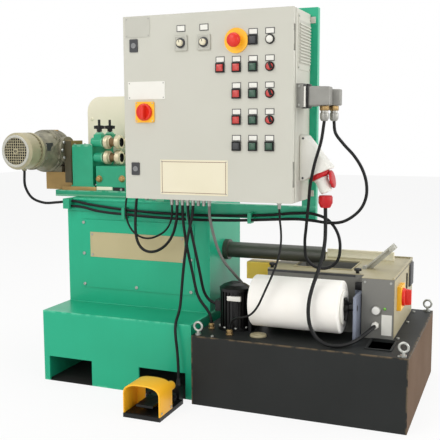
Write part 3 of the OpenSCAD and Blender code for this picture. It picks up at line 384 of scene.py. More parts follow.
class Bench:
    """Adds primitives in workshop millimetres and shapes them with operators."""

    WELD = 0.02 * MM
    FACING = 0.9

    @staticmethod
    def rest() -> None:
        """Leave edit mode and select nothing."""
        if bpy.context.mode != "OBJECT":
            bpy.ops.object.mode_set(mode="OBJECT")
        bpy.ops.object.select_all(action="DESELECT")

    @staticmethod
    def hold(*pieces: Obj) -> Obj:
        """Select these pieces alone.

        Args:
            pieces: the pieces, the first one becomes active.

        Returns:
            The first piece.
        """
        Bench.rest()
        for piece in pieces:
            piece.select_set(True)
        bpy.context.view_layer.objects.active = pieces[0]
        return pieces[0]

    @staticmethod
    def settle(name: str) -> Obj:
        """Name the piece just added and put its place into its mesh.

        Args:
            name: the piece's name.

        Returns:
            The piece.
        """
        piece = bpy.context.object
        piece.name = name
        piece.data.name = name
        bpy.ops.object.transform_apply(location=True, rotation=True, scale=True)
        return piece

    @staticmethod
    def smooth(piece: Obj, degrees: float) -> Obj:
        """Shade a piece smooth.

        Args:
            piece: the piece.
            degrees: edges sharper than this stay sharp.

        Returns:
            The same piece.
        """
        Bench.hold(piece)
        bpy.ops.object.shade_smooth_by_angle(angle=math.radians(degrees))
        return piece

    @staticmethod
    def outward() -> None:
        """Turn the faces of the piece in edit mode outwards and leave that mode."""
        bpy.ops.mesh.select_all(action="SELECT")
        bpy.ops.mesh.normals_make_consistent(inside=False)
        Bench.rest()

    @staticmethod
    def block(name: str, lo: Spot, hi: Spot) -> Obj:
        """Add a block.

        Args:
            name: the piece's name.
            lo: one corner.
            hi: the opposite corner.

        Returns:
            The block.
        """
        Bench.rest()
        low, high = at(*lo), at(*hi)
        bpy.ops.mesh.primitive_cube_add(size=1.0, location=(low + high) / 2, scale=high - low)
        return Bench.settle(name)

    @staticmethod
    def bars(name: str, boxes: Sequence[Box], edge: float = 0.0, steps: int = 2) -> Obj:
        """Add several blocks as one piece.

        Args:
            name: the piece's name.
            boxes: two corners of each block.
            edge: how far edges are rounded, if they are.
            steps: how many steps the rounding has.

        Returns:
            The piece.
        """
        made = [Bench.block(name, *box) for box in boxes]
        for bar in made if edge else ():
            Bench.soften(bar, edge, steps)
        return Bench.join(name, made)

    @staticmethod
    def sweep(name: str, base: Spot, line: Vector, profile: Profile, sides: int, fill: str) -> Obj:
        """Extrude and scale a circle step by step along an axis.

        Args:
            name: the piece's name.
            base: the point on the axis that the profile is measured from.
            line: the direction of the axis.
            profile: pairs of radius and distance along the axis.
            sides: how many sides the piece has round its axis.
            fill: how the first circle is filled.

        Returns:
            The piece, in edit mode.
        """
        Bench.rest()
        foot = at(*base)
        bpy.ops.mesh.primitive_circle_add(
            vertices=sides, radius=profile[0][0] * MM, fill_type=fill,
            location=foot + line * profile[0][1] * MM,
            rotation=line.to_track_quat("Z", "Y").to_euler())
        piece = Bench.settle(name)
        bpy.ops.object.mode_set(mode="EDIT")
        if fill == "NOTHING":
            bpy.ops.mesh.select_mode(type="EDGE")
        bpy.ops.mesh.select_all(action="SELECT")
        for (r0, a0), (r1, a1) in zip(profile, profile[1:]):
            move = line * (a1 - a0) * MM
            bpy.ops.mesh.extrude_region_move(TRANSFORM_OT_translate={"value": tuple(move)})
            if r1 != r0:
                bpy.ops.transform.resize(value=(r1 / r0,) * 3,
                                         center_override=tuple(foot + line * a1 * MM))
        return piece

    @staticmethod
    def turned(name: str, base: Spot, way: Way | Vector, profile: Profile, sides: int = 32) -> Obj:
        """Turn a piece as on a lathe, closed at both ends.

        Args:
            name: the piece's name.
            base: the point on the axis that the profile is measured from.
            way: the direction of the axis.
            profile: pairs of radius and distance along the axis.
            sides: how many sides the piece has round its axis.

        Returns:
            The piece.
        """
        line = way.vector() if isinstance(way, Way) else way.normalized()
        piece = Bench.sweep(name, base, line, profile, sides, "NGON")
        Bench.outward()
        return piece

    @staticmethod
    def ring(name: str, base: Spot, way: Way, profile: Profile, sides: int = 40) -> Obj:
        """Sweep a circle round a closed profile.

        Args:
            name: the piece's name.
            base: the point on the axis that the profile is measured from.
            way: the direction of the axis.
            profile: pairs of radius and distance along the axis.
            sides: how many sides the ring has.

        Returns:
            The open ring.
        """
        piece = Bench.sweep(name, base, way.vector(), [*profile, profile[0]], sides, "NOTHING")
        bpy.ops.mesh.select_all(action="SELECT")
        bpy.ops.mesh.remove_doubles(threshold=Bench.WELD)
        Bench.outward()
        return Bench.smooth(piece, 35.0)

    @staticmethod
    def pick(piece: Obj, way: Way) -> None:
        """Enter edit mode with the faces selected that look one way.

        Args:
            piece: the piece.
            way: where the faces look.
        """
        Bench.hold(piece)
        mesh, line = piece.data, way.vector()
        for part in (mesh.vertices, mesh.edges, mesh.polygons):
            part.foreach_set("select", [False] * len(part))
        for face in mesh.polygons:
            face.select = face.normal.dot(line) > Bench.FACING
        bpy.ops.object.mode_set(mode="EDIT")
        bpy.ops.mesh.select_mode(type="FACE")

    @staticmethod
    def inset(piece: Obj, way: Way, rim: float, depth: float) -> Obj:
        """Inset the faces that look one way, and sink or raise them.

        Args:
            piece: the piece.
            way: where the faces look.
            rim: the width left round them.
            depth: how far they rise, or sink if negative.

        Returns:
            The same piece.
        """
        Bench.pick(piece, way)
        bpy.ops.mesh.inset(thickness=rim * MM, depth=0.0)
        move = way.vector() * depth * MM
        bpy.ops.mesh.extrude_region_move(TRANSFORM_OT_translate={"value": tuple(move)})
        Bench.rest()
        return piece

    @staticmethod
    def taper(piece: Obj, way: Way, grow: Spot) -> Obj:
        """Scale the faces that look one way about their middle.

        Args:
            piece: the piece.
            way: where the faces look.
            grow: the factor along each axis.

        Returns:
            The same piece.
        """
        Bench.pick(piece, way)
        bpy.ops.transform.resize(value=grow)
        Bench.rest()
        return piece

    @staticmethod
    def soften(piece: Obj, width: float, steps: int = 2, angle: float = 40.0) -> Obj:
        """Round a piece's sharp edges and shade it smooth.

        Args:
            piece: the piece.
            width: how far edges are rounded.
            steps: how many steps the rounding has.
            angle: edges blunter than this, in degrees, stay as they are.

        Returns:
            The same piece.
        """
        Bench.hold(piece)
        edges = piece.modifiers.new("Edges", "BEVEL")
        edges.width = width * MM
        edges.segments = steps
        edges.limit_method = "ANGLE"
        edges.angle_limit = math.radians(angle)
        bpy.ops.object.modifier_apply(modifier=edges.name)
        return Bench.smooth(piece, angle)

    @staticmethod
    def cut(piece: Obj, tool: Obj) -> Obj:
        """Take a tool's shape out of a piece and remove the tool.

        Args:
            piece: the piece.
            tool: what is taken out.

        Returns:
            The same piece.
        """
        Bench.hold(piece)
        bore = piece.modifiers.new("Cut", "BOOLEAN")
        bore.operation = "DIFFERENCE"
        bore.object = tool
        bpy.ops.object.modifier_apply(modifier=bore.name)
        bpy.data.objects.remove(tool)
        return piece

    @staticmethod
    def copy(piece: Obj, move: Spot) -> Obj:
        """Copy a piece with a mesh of its own.

        Args:
            piece: the piece.
            move: how far the copy is moved.

        Returns:
            The copy.
        """
        twin = piece.copy()
        twin.data = piece.data.copy()
        bpy.context.scene.collection.objects.link(twin)
        twin.data.transform(Matrix.Translation(Vector(move) * MM))
        return twin

    @staticmethod
    def turn(piece: Obj, pivot: Spot, axis: Way, degrees: float) -> Obj:
        """Turn a piece's mesh.

        Args:
            piece: the piece.
            pivot: a point on the axis.
            axis: the direction of the axis.
            degrees: how far it turns.

        Returns:
            The same piece.
        """
        hub = at(*pivot)
        spin = Matrix.Rotation(math.radians(degrees), 4, axis.vector())
        piece.data.transform(Matrix.Translation(hub) @ spin @ Matrix.Translation(-hub))
        return piece

    @staticmethod
    def join(name: str, pieces: Sequence[Obj]) -> Obj:
        """Join pieces into one.

        Args:
            name: the whole's name.
            pieces: the pieces, in order.

        Returns:
            The whole.
        """
        whole = Bench.hold(*pieces)
        if len(pieces) > 1:
            bpy.ops.object.join()
        whole.name = name
        whole.data.name = name
        return whole

    @staticmethod
    def spread(piece: Obj, moves: Sequence[Spot]) -> Obj:
        """Copy a piece to several places and drop the pattern piece.

        Args:
            piece: the pattern piece.
            moves: how far each copy is moved.

        Returns:
            All copies as one piece.
        """
        name = piece.name
        twins = [Bench.copy(piece, move) for move in moves]
        bpy.data.objects.remove(piece)
        return Bench.join(name, twins)

    @staticmethod
    def prism(name: str, outline: Profile, depth: tuple[float, float]) -> Obj:
        """Extrude an outline along Y.

        Args:
            name: the piece's name.
            outline: pairs of X and Z.
            depth: the first and the last Y.

        Returns:
            The closed prism.
        """
        Bench.rest()
        bpy.ops.mesh.primitive_circle_add(vertices=len(outline), radius=0.1, fill_type="NGON")
        piece = Bench.settle(name)
        for corner, (x, z) in zip(piece.data.vertices, outline):
            corner.co = at(x, depth[0], z)
        bpy.ops.object.mode_set(mode="EDIT")
        bpy.ops.mesh.select_all(action="SELECT")
        move = (0.0, (depth[1] - depth[0]) * MM, 0.0)
        bpy.ops.mesh.extrude_region_move(TRANSFORM_OT_translate={"value": move})
        Bench.outward()
        return piece

    @staticmethod
    def tube(name: str, kind: str, diameter: float, roundness: int) -> tuple[Obj, bpy.types.Spline]:
        """Add a round curve with closed ends.

        Args:
            name: the piece's name.
            kind: the kind of line.
            diameter: the curve's diameter.
            roundness: how finely it is rounded.

        Returns:
            The piece and its line, which has no points yet.
        """
        curve = bpy.data.curves.new(name, "CURVE")
        curve.dimensions = "3D"
        curve.bevel_depth = diameter / 2 * MM
        curve.bevel_resolution = roundness
        curve.use_fill_caps = True
        piece = bpy.data.objects.new(name, curve)
        bpy.context.scene.collection.objects.link(piece)
        return piece, curve.splines.new(kind)

    @staticmethod
    def strand(name: str, points: Sequence[Spot], diameter: float) -> Obj:
        """Bend a round bar along points.

        Args:
            name: the piece's name.
            points: the points of its middle line.
            diameter: the bar's diameter.

        Returns:
            The closed mesh.
        """
        piece, line = Bench.tube(name, "POLY", diameter, 3)
        line.points.add(len(points) - 1)
        for point, spot in zip(line.points, points):
            point.co = (*at(*spot), 1.0)
        Bench.hold(piece)
        bpy.ops.object.convert(target="MESH")
        return Bench.smooth(bpy.context.object, 40.0)


def fit(piece: Obj, finish: Finish, body: Body = Body.MACHINE, stands_for: str = "",
        moves: Iterable[Spot] = ()) -> Obj:
    """Dress a new piece, let it ride on a body and hide the solid it stands for.

    Args:
        piece: the finished mesh.
        finish: the finish it wears.
        body: the body it moves with.
        stands_for: the CAD node that it takes the place of, if any.
        moves: the places that it is copied to, if there are several.

    Returns:
        The fitted piece.
    """
    places = list(moves)
    if places:
        piece = Bench.spread(piece, places)
    piece.data.materials.clear()
    piece.data.materials.append(finish.material())
    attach(piece, body.value)
    if stands_for:
        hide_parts(stands_for)
    LOG.info("%s rides on %s", piece.name, body.value)
    return piece


def slab(name: str, lo: Spot, hi: Spot, finish: Finish, edge: float, steps: int = 2,
         sunk: tuple[Way, float, float] | None = None, **duty: object) -> Obj:
    """Make a block with softened edges and fit it.

    Args:
        name: the piece's name.
        lo: one corner.
        hi: the opposite corner.
        finish: the finish it wears.
        edge: how far its edges are rounded.
        steps: how many steps the rounding has.
        sunk: the side with an inner field, the rim's width and how far the field stands out.
        duty: body, stands_for and moves, as fit takes them.

    Returns:
        The fitted piece.
    """
    piece = Bench.block(name, lo, hi)
    if sunk:
        Bench.inset(piece, *sunk)
    return fit(Bench.soften(piece, edge, steps), finish, **duty)


def lathe(name: str, base: Spot, way: Way | Vector, profile: Profile, sides: int, finish: Finish,
          edge: float = 0.0, steps: int = 1, **duty: object) -> Obj:
    """Turn a piece, soften its edges if asked and fit it.

    Args:
        name: the piece's name.
        base: the point on the axis that the profile is measured from.
        way: the direction of the axis.
        profile: pairs of radius and distance along the axis.
        sides: how many sides the piece has round its axis.
        finish: the finish it wears.
        edge: how far its edges are rounded.
        steps: how many steps the rounding has.
        duty: body, stands_for and moves, as fit takes them.

    Returns:
        The fitted piece.
    """
    piece = Bench.turned(name, base, way, profile, sides)
    if edge:
        Bench.soften(piece, edge, steps)
    return fit(piece, finish, **duty)


def screws(name: str, base: Spot, way: Way, radius: float, height: float,
           moves: Iterable[Spot] = (), finish: Finish = ZINC, body: Body = Body.MACHINE) -> Obj:
    """Make and fit hexagon socket screw heads.

    Args:
        name: the piece's name.
        base: where a head stands before it is moved.
        way: where it points.
        radius: its radius.
        height: its height.
        moves: the places of the heads, if there are several.
        finish: the finish they wear.
        body: the body they move with.

    Returns:
        The heads as one piece.
    """
    head = Bench.turned(name, base, way, [
        (radius, 0.0), (radius, height * 0.8), (radius * 0.88, height),
        (radius * 0.5, height), (radius * 0.45, height * 0.45)], 12)
    return fit(Bench.smooth(head, 35.0), finish, body, moves=moves)


def hex_gland(name: str, base: Spot, way: Way, radius: float, length: float) -> Obj:
    """Make a cable gland: a hexagon nut, a neck and a dome nut.

    Args:
        name: the piece's name.
        base: where it stands.
        way: where it points.
        radius: the dome's radius.
        length: the whole length.

    Returns:
        The gland.
    """
    nut = Bench.turned(name, base, way, [(radius * 1.12, 0.0), (radius * 1.12, length * 0.28),
                                         (radius * 0.98, length * 0.32)], 6)
    dome = Bench.turned(name, base, way, [
        (radius * 0.82, length * 0.3), (radius * 0.82, length * 0.46), (radius, length * 0.5),
        (radius, length * 0.82), (radius * 0.8, length * 0.95), (radius * 0.62, length)], 20)
    return Bench.join(name, [Bench.soften(nut, 0.6, 1), Bench.smooth(dome, 35.0)])


def frame_bars(name: str, lo: Spot, hi: Spot, width: float) -> Obj:
    """Make a flat frame in the XZ plane.

    Args:
        name: the piece's name.
        lo: one corner.
        hi: the opposite corner.
        width: the width of its bars.

    Returns:
        The frame.
    """
    (x0, y0, z0), (x1, y1, z1) = lo, hi
    return Bench.bars(name, [((x0, y0, z0), (x1, y1, z0 + width)),
                             ((x0, y0, z1 - width), (x1, y1, z1)),
                             ((x0, y0, z0 + width), (x0 + width, y1, z1 - width)),
                             ((x1 - width, y0, z0 + width), (x1, y1, z1 - width))])


def circle(radius: float, turns: Iterable[float], across: Way, up: Way) -> list[Spot]:
    """Return places on a circle in the plane of two ways, by their turns in radians."""
    return [tuple(radius * (math.cos(a) * across.vector() + math.sin(a) * up.vector()))
            for a in turns]


def handle(name: str, middle: Spot, way: Way, profile: Profile, sides: int, grip: Box,
           grow: Spot) -> Obj:
    """Make a switch handle: a turned base with a tapered grip across it.

    Args:
        name: the piece's name.
        middle: the foot of the base's axis.
        way: where the handle points.
        profile: the base's pairs of radius and distance.
        sides: how many sides the base has.
        grip: two corners of the grip.
        grow: how its outer side is scaled.

    Returns:
        The handle.
    """
    base = Bench.turned(name, middle, way, profile, sides)
    bar = Bench.taper(Bench.block(name, *grip), way, grow)
    return Bench.join(name, [Bench.soften(base, 0.6, 1), Bench.soften(bar, 2.0, 3)])


def band(piece: Obj, finish: Finish, test: FaceTest) -> None:
    """Give the faces that pass a test a second finish.

    Args:
        piece: a fitted piece.
        finish: the finish of those faces.
        test: tells from a face's middle and normal whether it wears the finish.
    """
    piece.data.materials.append(finish.material())
    slot = len(piece.data.materials) - 1
    for face in piece.data.polygons:
        if test(face.center, face.normal):
            face.material_index = slot


@dataclass
class PhotoCamera:
    """The camera at the photograph's place, with its turn, tilt and lens."""

    place: Spot = (1612.0, -2264.8, 925.6)
    turn_left: float = 21.91
    tilt_down: float = 7.02
    roll: float = 0.18
    lens: float = 61.62
    sensor: float = 36.0

    def build(self) -> Obj:
        """Make the scene's camera.

        Returns:
            The camera.
        """
        data = bpy.data.cameras.new("photo_camera")
        data.lens = self.lens
        data.sensor_width = self.sensor
        camera = bpy.data.objects.new("photo_camera", data)
        bpy.context.scene.collection.objects.link(camera)
        yaw, pitch, roll = (math.radians(a) for a in (self.turn_left, self.tilt_down, self.roll))
        look = Vector((-math.sin(yaw) * math.cos(pitch), math.cos(yaw) * math.cos(pitch),
                       -math.sin(pitch)))
        right = Vector((math.cos(yaw), math.sin(yaw), 0.0))
        down = look.cross(right)
        across = right * math.cos(roll) + down * math.sin(roll)
        upright = right * math.sin(roll) - down * math.cos(roll)
        turned = Matrix((across, upright, -look)).transposed().to_4x4()
        camera.matrix_world = Matrix.Translation(at(*self.place)) @ turned
        bpy.context.scene.camera = camera
        return camera


@dataclass(frozen=True)
class Cable:
    """A cable: the solid it stands for, its length and diameter, and its route."""

    node: str
    length: float
    diameter: float
    route: tuple[Spot, ...]
    finish: Finish = RUBBER

    def build(self) -> Obj:
        """Returns:
            The cable.
        """
        points = [at(*spot) for spot in self.route]
        piece, line = Bench.tube(self.node + "_sheath", "BEZIER", self.diameter, 4)
        piece.data.resolution_u = 10
        line.bezier_points.add(len(points) - 1)
        for i, knot in enumerate(line.bezier_points):
            back = points[i] - points[max(i - 1, 0)]
            ahead = points[min(i + 1, len(points) - 1)] - points[i]
            along = (back.normalized() * (ahead.length or 1.0)
                     + ahead.normalized() * (back.length or 1.0)).normalized() / 3
            knot.handle_left_type = knot.handle_right_type = "FREE"
            knot.co = points[i]
            knot.handle_left = points[i] - along * back.length
            knot.handle_right = points[i] + along * ahead.length
        fit(piece, self.finish, Body.MACHINE, self.node)
        return piece


CABLES = (
    Cable("feed_motor_cable", 2.025, 10, (
        (-142, 110, 766), (-140.3, 112.3, 699.7), (-121, 125.1, 660.2), (-84.9, 142.6, 642.2),
        (-30.6, 158, 643.4), (31.8, 164.6, 649.7), (105.4, 163.4, 640.1), (183.9, 163, 631.6),
        (264, 163, 624.7), (344.5, 163, 620.8), (426.2, 163, 618.3), (507.3, 163, 617),
        (588.3, 163, 617.7), (669.4, 163, 620), (750.5, 163, 624), (831.2, 163.3, 629.7),
        (907.6, 161.9, 638.1), (974.8, 158.8, 638.1), (1022.5, 155.1, 621.2),
        (1055.5, 151.5, 581.1),
        (1065.9, 149, 529), (1054.4, 149.9, 483.4), (1021.2, 151, 460.4), (984.1, 146.1, 463.1),
        (960, 135.3, 486.5), (956, 115.2, 539.1), (965.8, 94.1, 606.1), (979.6, 66.8, 677.7),
        (990.5, 45.5, 742.8), (1004.6, 42.1, 810.9), (1023.9, 47.2, 883.7), (1032, 50, 944))),
    Cable("connector_cable", 1.443, 10, (
        (1053, 90, 944), (1057.8, 91.1, 907.8), (1081.1, 95.7, 874.6), (1117.2, 102.2, 833.9),
        (1142, 107.4, 792.9), (1154.9, 111.6, 749.6), (1154.5, 115.6, 706.4),
        (1140.6, 120.2, 671.1),
        (1111.6, 125.9, 640.3), (1075.1, 130.6, 619.8), (1032.8, 135.5, 614.1),
        (979.2, 143.5, 617.6),
        (927, 149.1, 620.1), (867.9, 150.8, 617.4), (807.6, 151.3, 613.3), (746.8, 151, 608.8),
        (685.4, 151, 605.7), (623.9, 151, 603.5), (562.5, 151, 602.3), (501.2, 151, 602.1),
        (439.7, 151, 603), (378, 150.9, 604.7), (316.5, 150.7, 607.1), (255.4, 151.1, 610.2),
        (194.7, 152.5, 613), (138.5, 155.2, 618.4), (80.6, 159.7, 628.7), (30, 161, 632))),
    Cable("filter_cable", 0.675, 12, (
        (1029, 92, 668), (1030.3, 90.7, 612.8), (1031, 83.3, 561.3), (1027.1, 68.8, 514),
        (1019.5, 46.6, 469.6), (1010.2, 17.2, 425.3), (1005.1, -6, 382.1), (1005.8, -16.6, 339),
        (1016, -20.7, 297.4), (1036.8, -21, 266.7), (1064.1, -17.1, 250.4), (1096, -4.7, 245),
        (1126.4, 20.8, 248), (1153.9, 58.4, 259.1), (1177.5, 97, 277), (1187, 130, 283))),
    Cable("level_cable", 0.502, 7, (
        (878, 80, 660), (879.9, 80.9, 624.3), (883.8, 81.3, 588.2), (885.6, 77.8, 556.1),
        (885.3, 69, 527.4), (882.8, 54, 497.5), (877.9, 34.9, 468.1), (870.3, 14, 438.1),
        (861.2, -2.9, 409.3), (851.7, -12.4, 383.3), (840, -16.3, 356.7), (824.7, -16.1, 334.3),
        (807.2, -13, 318.9), (785.1, -6.2, 308.8), (757, 5.7, 300.5), (740.7, 13.3, 290.6),
        (731, 17.9, 276.8), (726, 20, 256))),
    Cable("short_loop_cable", 0.558, 7, (
        (490, 80, 660), (487.8, 81.7, 620.5), (476, 87.7, 590.3), (452.9, 96.2, 563.7),
        (420.1, 104.7, 544.3), (382.9, 114.1, 532.3), (349.4, 120.8, 533), (320.8, 124.9, 544.6),
        (297.8, 126.9, 567.3), (284.3, 127.8, 598.1), (281.1, 128.2, 634.5), (286.4, 130.8, 678.7),
        (294.8, 140, 706.9), (304.8, 156.8, 724.7), (313.1, 176.5, 730.4), (318.9, 195.9, 723.6),
        (321.6, 210.4, 706.3), (322, 216, 676))),
    Cable("long_loop_cable", 0.640, 10, (
        (510, 80, 660), (507.8, 80, 618.6), (500.3, 81, 582), (487, 83.5, 549.9),
        (467.5, 86.3, 523.1),
        (442.3, 89.2, 502.4), (414.7, 92.1, 490), (388.6, 94.4, 487.5), (366.5, 96.2, 494.2),
        (350.5, 97.5, 508.6), (339.6, 98.8, 532.8), (334.6, 100.2, 567.4), (335, 101.6, 609.9),
        (337.6, 103.6, 655.1), (340.1, 108.9, 691), (342.6, 120.2, 716.8), (345.3, 136.5, 733.1),
        (348, 156, 740), (350.4, 176.9, 737.6), (352.4, 195.6, 726), (353.6, 208.8, 706.4),
        (354, 216, 676))),
    Cable("deck_cable", 0.426, 10, (
        (530, 80, 660), (530.3, 80, 631.6), (532.2, 80, 604.8), (535.6, 80, 576.7),
        (540, 80, 547.8),
        (545.1, 80, 519.2), (551, 80, 490.2), (557.5, 80, 461.5), (564.3, 80, 432.2),
        (570.6, 80.1, 403.2), (576.9, 80, 375.6), (583.5, 79.4, 353.4), (591.2, 78.1, 338.2),
        (604, 75.5, 322.6), (621.3, 72.7, 304.5), (631.7, 71.2, 290.2), (637.5, 70.4, 275.8),
        (640, 70, 258))),
    Cable("pump_cable", 0.377, 10, (
        (550, 80, 660), (550.8, 80, 637.8), (553.1, 80, 616.8), (557, 80, 594.7),
        (562, 79.9, 570.8),
        (567.4, 79.8, 546.2), (572.7, 80, 522.2), (577.7, 80.7, 498.7), (582.2, 82, 475.9),
        (586, 84.1, 454), (589.1, 87.3, 432.4), (591.5, 91.6, 410.6), (593.5, 97, 387.9),
        (596, 102, 368.2), (599.9, 105.4, 353.1), (605.3, 107.7, 341.2), (612.3, 109, 331.9),
        (620.9, 109.6, 324.8), (631.6, 109.9, 319.6), (646, 110, 316))),
    Cable("pedal_cable", 0.632, 10, (
        (570, 80, 660), (568, 75.4, 623.9), (562.3, 66.9, 584.8), (555.9, 60.8, 545),
        (550, 56.9, 503.2), (545.1, 54.5, 459.9), (540.9, 52.7, 415.7), (537.7, 50.4, 372.6),
        (535.9, 46.1, 334.5), (535.7, 37.7, 308), (536.5, 23, 289.2), (539.5, -2.1, 268.5),
        (542.9, -15.4, 249.8), (546.9, -21.8, 224.1), (552, -23.6, 184.9), (556.2, -25.5, 142.2),
        (559, -28.4, 99.5), (560, -30, 58))),
    Cable("return_cable", 0.460, 10, (
        (630, 80, 660), (630.3, 80.4, 629.7), (633.6, 84.7, 601), (638.6, 92, 566.8),
        (644, 100.4, 535.2), (651, 110.6, 503.9), (658.9, 121.7, 476.7), (668.4, 134.7, 453.7),
        (681.1, 152.6, 429.5), (693.2, 172.2, 405.6), (704.2, 192.5, 382.3), (712.8, 211.1, 357.7),
        (719.2, 226.2, 333.4), (725, 238.1, 306.8), (727.8, 243.6, 285.1), (728, 244, 258)),
        GREY_SHEATH),
)


@dataclass
class Studio:
    """The pale floor, the white surround and the soft lamps."""

    floor_half: float = 9.0
    floor_tone: str = "f4f2f0"
    floor_lift: float = 0.87
    painted_shade_tone: str = "141512"
    painted_shade_x: tuple[float, float] = (0.0, 594.0)
    painted_shade_y: tuple[float, float] = (0.0, 660.0)
    surround: float = 0.46

    AIM: ClassVar[Vector] = Vector((0.0, 0.0, 0.6))
    LAMPS: ClassVar[tuple[tuple[str, Spot, float, float], ...]] = (
        ("key_lamp", (-1.6, -3.2, 3.4), 2.6, 64.0),
        ("fill_lamp", (3.6, -2.4, 2.2), 2.4, 36.0),
        ("top_lamp", (0.2, 0.6, 4.2), 3.2, 55.0),
        ("low_lamp", (-0.6, -3.8, 0.8), 2.4, 24.0),
        ("side_lamp", (4.0, 0.8, 1.5), 2.4, 62.0))

    def build(self) -> None:
        """Make floor, world and lamps, and set the plain view transform."""
        Bench.rest()
        bpy.ops.mesh.primitive_plane_add(size=2 * self.floor_half, location=(0.0, 3.0, 0.0))
        floor = Bench.settle("studio_floor")
        floor.data.materials.append(self._floor_material())
        self._world()
        for name, place, size, power in self.LAMPS:
            self._lamp(name, place, size, power)
        bpy.context.scene.view_settings.view_transform = "Standard"

    def _floor_material(self) -> bpy.types.Material:
        """Make the floor's pale material, lifted towards white where it is looked at.

        The floor inside the hollow plinth gets a painted dark shade and no lift.

        Returns:
            The material.
        """
        made = Finish("studio_floor_paint", "paper", self.floor_tone, self.floor_tone, 0.8,
                      bump=0.02).material()
        kit = Shading(made.node_tree)
        # Painted shade: the floor's patch under the hollow plinth is dark and not lifted.
        split = kit.add("SeparateXYZ", {"Vector": kit.place()})
        beyond = []
        for axis, (low, high) in enumerate((self.painted_shade_x, self.painted_shade_y)):
            middle = ((low + high) / 2 - ORIGIN[axis]) * MM
            off = kit.calc("ABSOLUTE", kit.calc("SUBTRACT", split.outputs[axis], middle))
            beyond.append(kit.calc("GREATER_THAN", off, (high - low) / 2 * MM))
        outside = kit.calc("MAXIMUM", *beyond)
        paint = made.node_tree.nodes["Principled BSDF"]
        pale = paint.inputs["Base Color"].links[0].from_socket
        kit.feed(paint, {"Base Color": kit.mix(outside, tone(self.painted_shade_tone), pale)})
        share = kit.calc("MULTIPLY", kit.calc("MULTIPLY", kit.looked_at(), self.floor_lift),
                         outside)
        glow = kit.add("Emission")
        kit.blend(share, paint.outputs["BSDF"], glow.outputs["Emission"], "Material Output")
        return made

    def _world(self) -> None:
        """Light the surround softly and show it white to the camera."""
        world = bpy.data.worlds.new("studio_world")
        bpy.context.scene.world = world
        world.use_nodes = True
        kit = Shading(world.node_tree)
        soft = kit.feed(world.node_tree.nodes["Background"],
                        {"Color": WHITE, "Strength": self.surround})
        full = kit.add("Background", {"Color": WHITE, "Strength": 1.0})
        kit.blend(kit.looked_at(), soft.outputs["Background"], full.outputs["Background"],
                  "World Output")

    def _lamp(self, name: str, place: Spot, size: float, power: float) -> None:
        """Hang one soft square lamp that looks at the machine.

        Args:
            name: the lamp's name.
            place: where it hangs, in metres.
            size: the side of its square, in metres.
            power: its power in watts.
        """
        data = bpy.data.lights.new(name, "AREA")
        data.size = size
        data.energy = power
        lamp = bpy.data.objects.new(name, data)
        bpy.context.scene.collection.objects.link(lamp)
        lamp.location = place
        lamp.rotation_euler = (self.AIM - Vector(place)).to_track_quat("-Z", "Y").to_euler()


class NodePaint:
    """Gives every carried-over CAD node its finish."""

    FINISHES: dict[Finish, tuple[str, ...]] = {
        GREEN: ("plinth", "column", "column_cover", "bed", "cabinet_frame"),
        GREEN_UNIT: ("feed_plate", "gear_case", "roller_stand", "cable_clips"),
        PASSIVATED: ("motor_bracket", "mounting_plate"),
        COWL: ("feed_motor",),
        CAST: ("gearbox",),
        CREAM: ("grinding_guard",),
        CABINET: ("cabinet_body", "cabinet_door", "louvre_panel"),
        STEEL: ("lower_front_roller", "upper_front_roller", "lower_rear_roller",
                "upper_rear_roller"),
        BLACK_PLASTIC: ("adjusting_screws", "pedal_base", "pedal_plate"),
        DARK_PLASTIC: ("push_buttons", "selectors", "door_locks"),
        WHITE_PLASTIC: ("legend_plates",),
        GREY_PLASTIC: ("dials", "power_socket"),
        YELLOW: ("switch_plates", "pedal_hood", "filter_switch_plate"),
        RED: ("estop_button", "main_switch", "power_plug", "filter_switch"),
        GREY_CAST: ("connector_base", "connector_hoods"),
        NICKEL: ("cable_glands",),
        TANK: ("tank_tub", "tank_deck"),
        ZINC: ("eye_bolts",),
        BRASS: ("deck_fittings",),
        BLACK_PAINT: ("coolant_pump",),
        BLUE_SHEET: ("roll_brackets",),
        GREY_PAINT: ("filter_body",),
        OLIVE: ("filter_trim",),
        PAPER: ("paper_roll",),
        PIPE: ("drain_pipe",),
        RUBBER: tuple(cable.node for cable in CABLES),
    }

    def apply(self, nodes: dict[str, Obj]) -> None:
        """Put each finish into its nodes' material slots.

        Args:
            nodes: the CAD nodes by name.
        """
        for finish, names in self.FINISHES.items():
            for name in names:
                data = nodes[name].data
                if not data.materials:
                    data.materials.append(None)
                for k in range(len(data.materials)):
                    data.materials[k] = finish.material()
        tank_right = at(1319, 0, 0).x
        roll_middle = at(900, 0, 0).x
        band(nodes["roll_brackets"], BLACK_PAINT, lambda spot, normal: spot.x < roll_middle)
        # The tank's right-facing faces get painted side light.
        band(nodes["tank_tub"], TANK_LIT_SIDE, lambda spot,
             normal: normal.x > Bench.FACING and spot.x > tank_right)


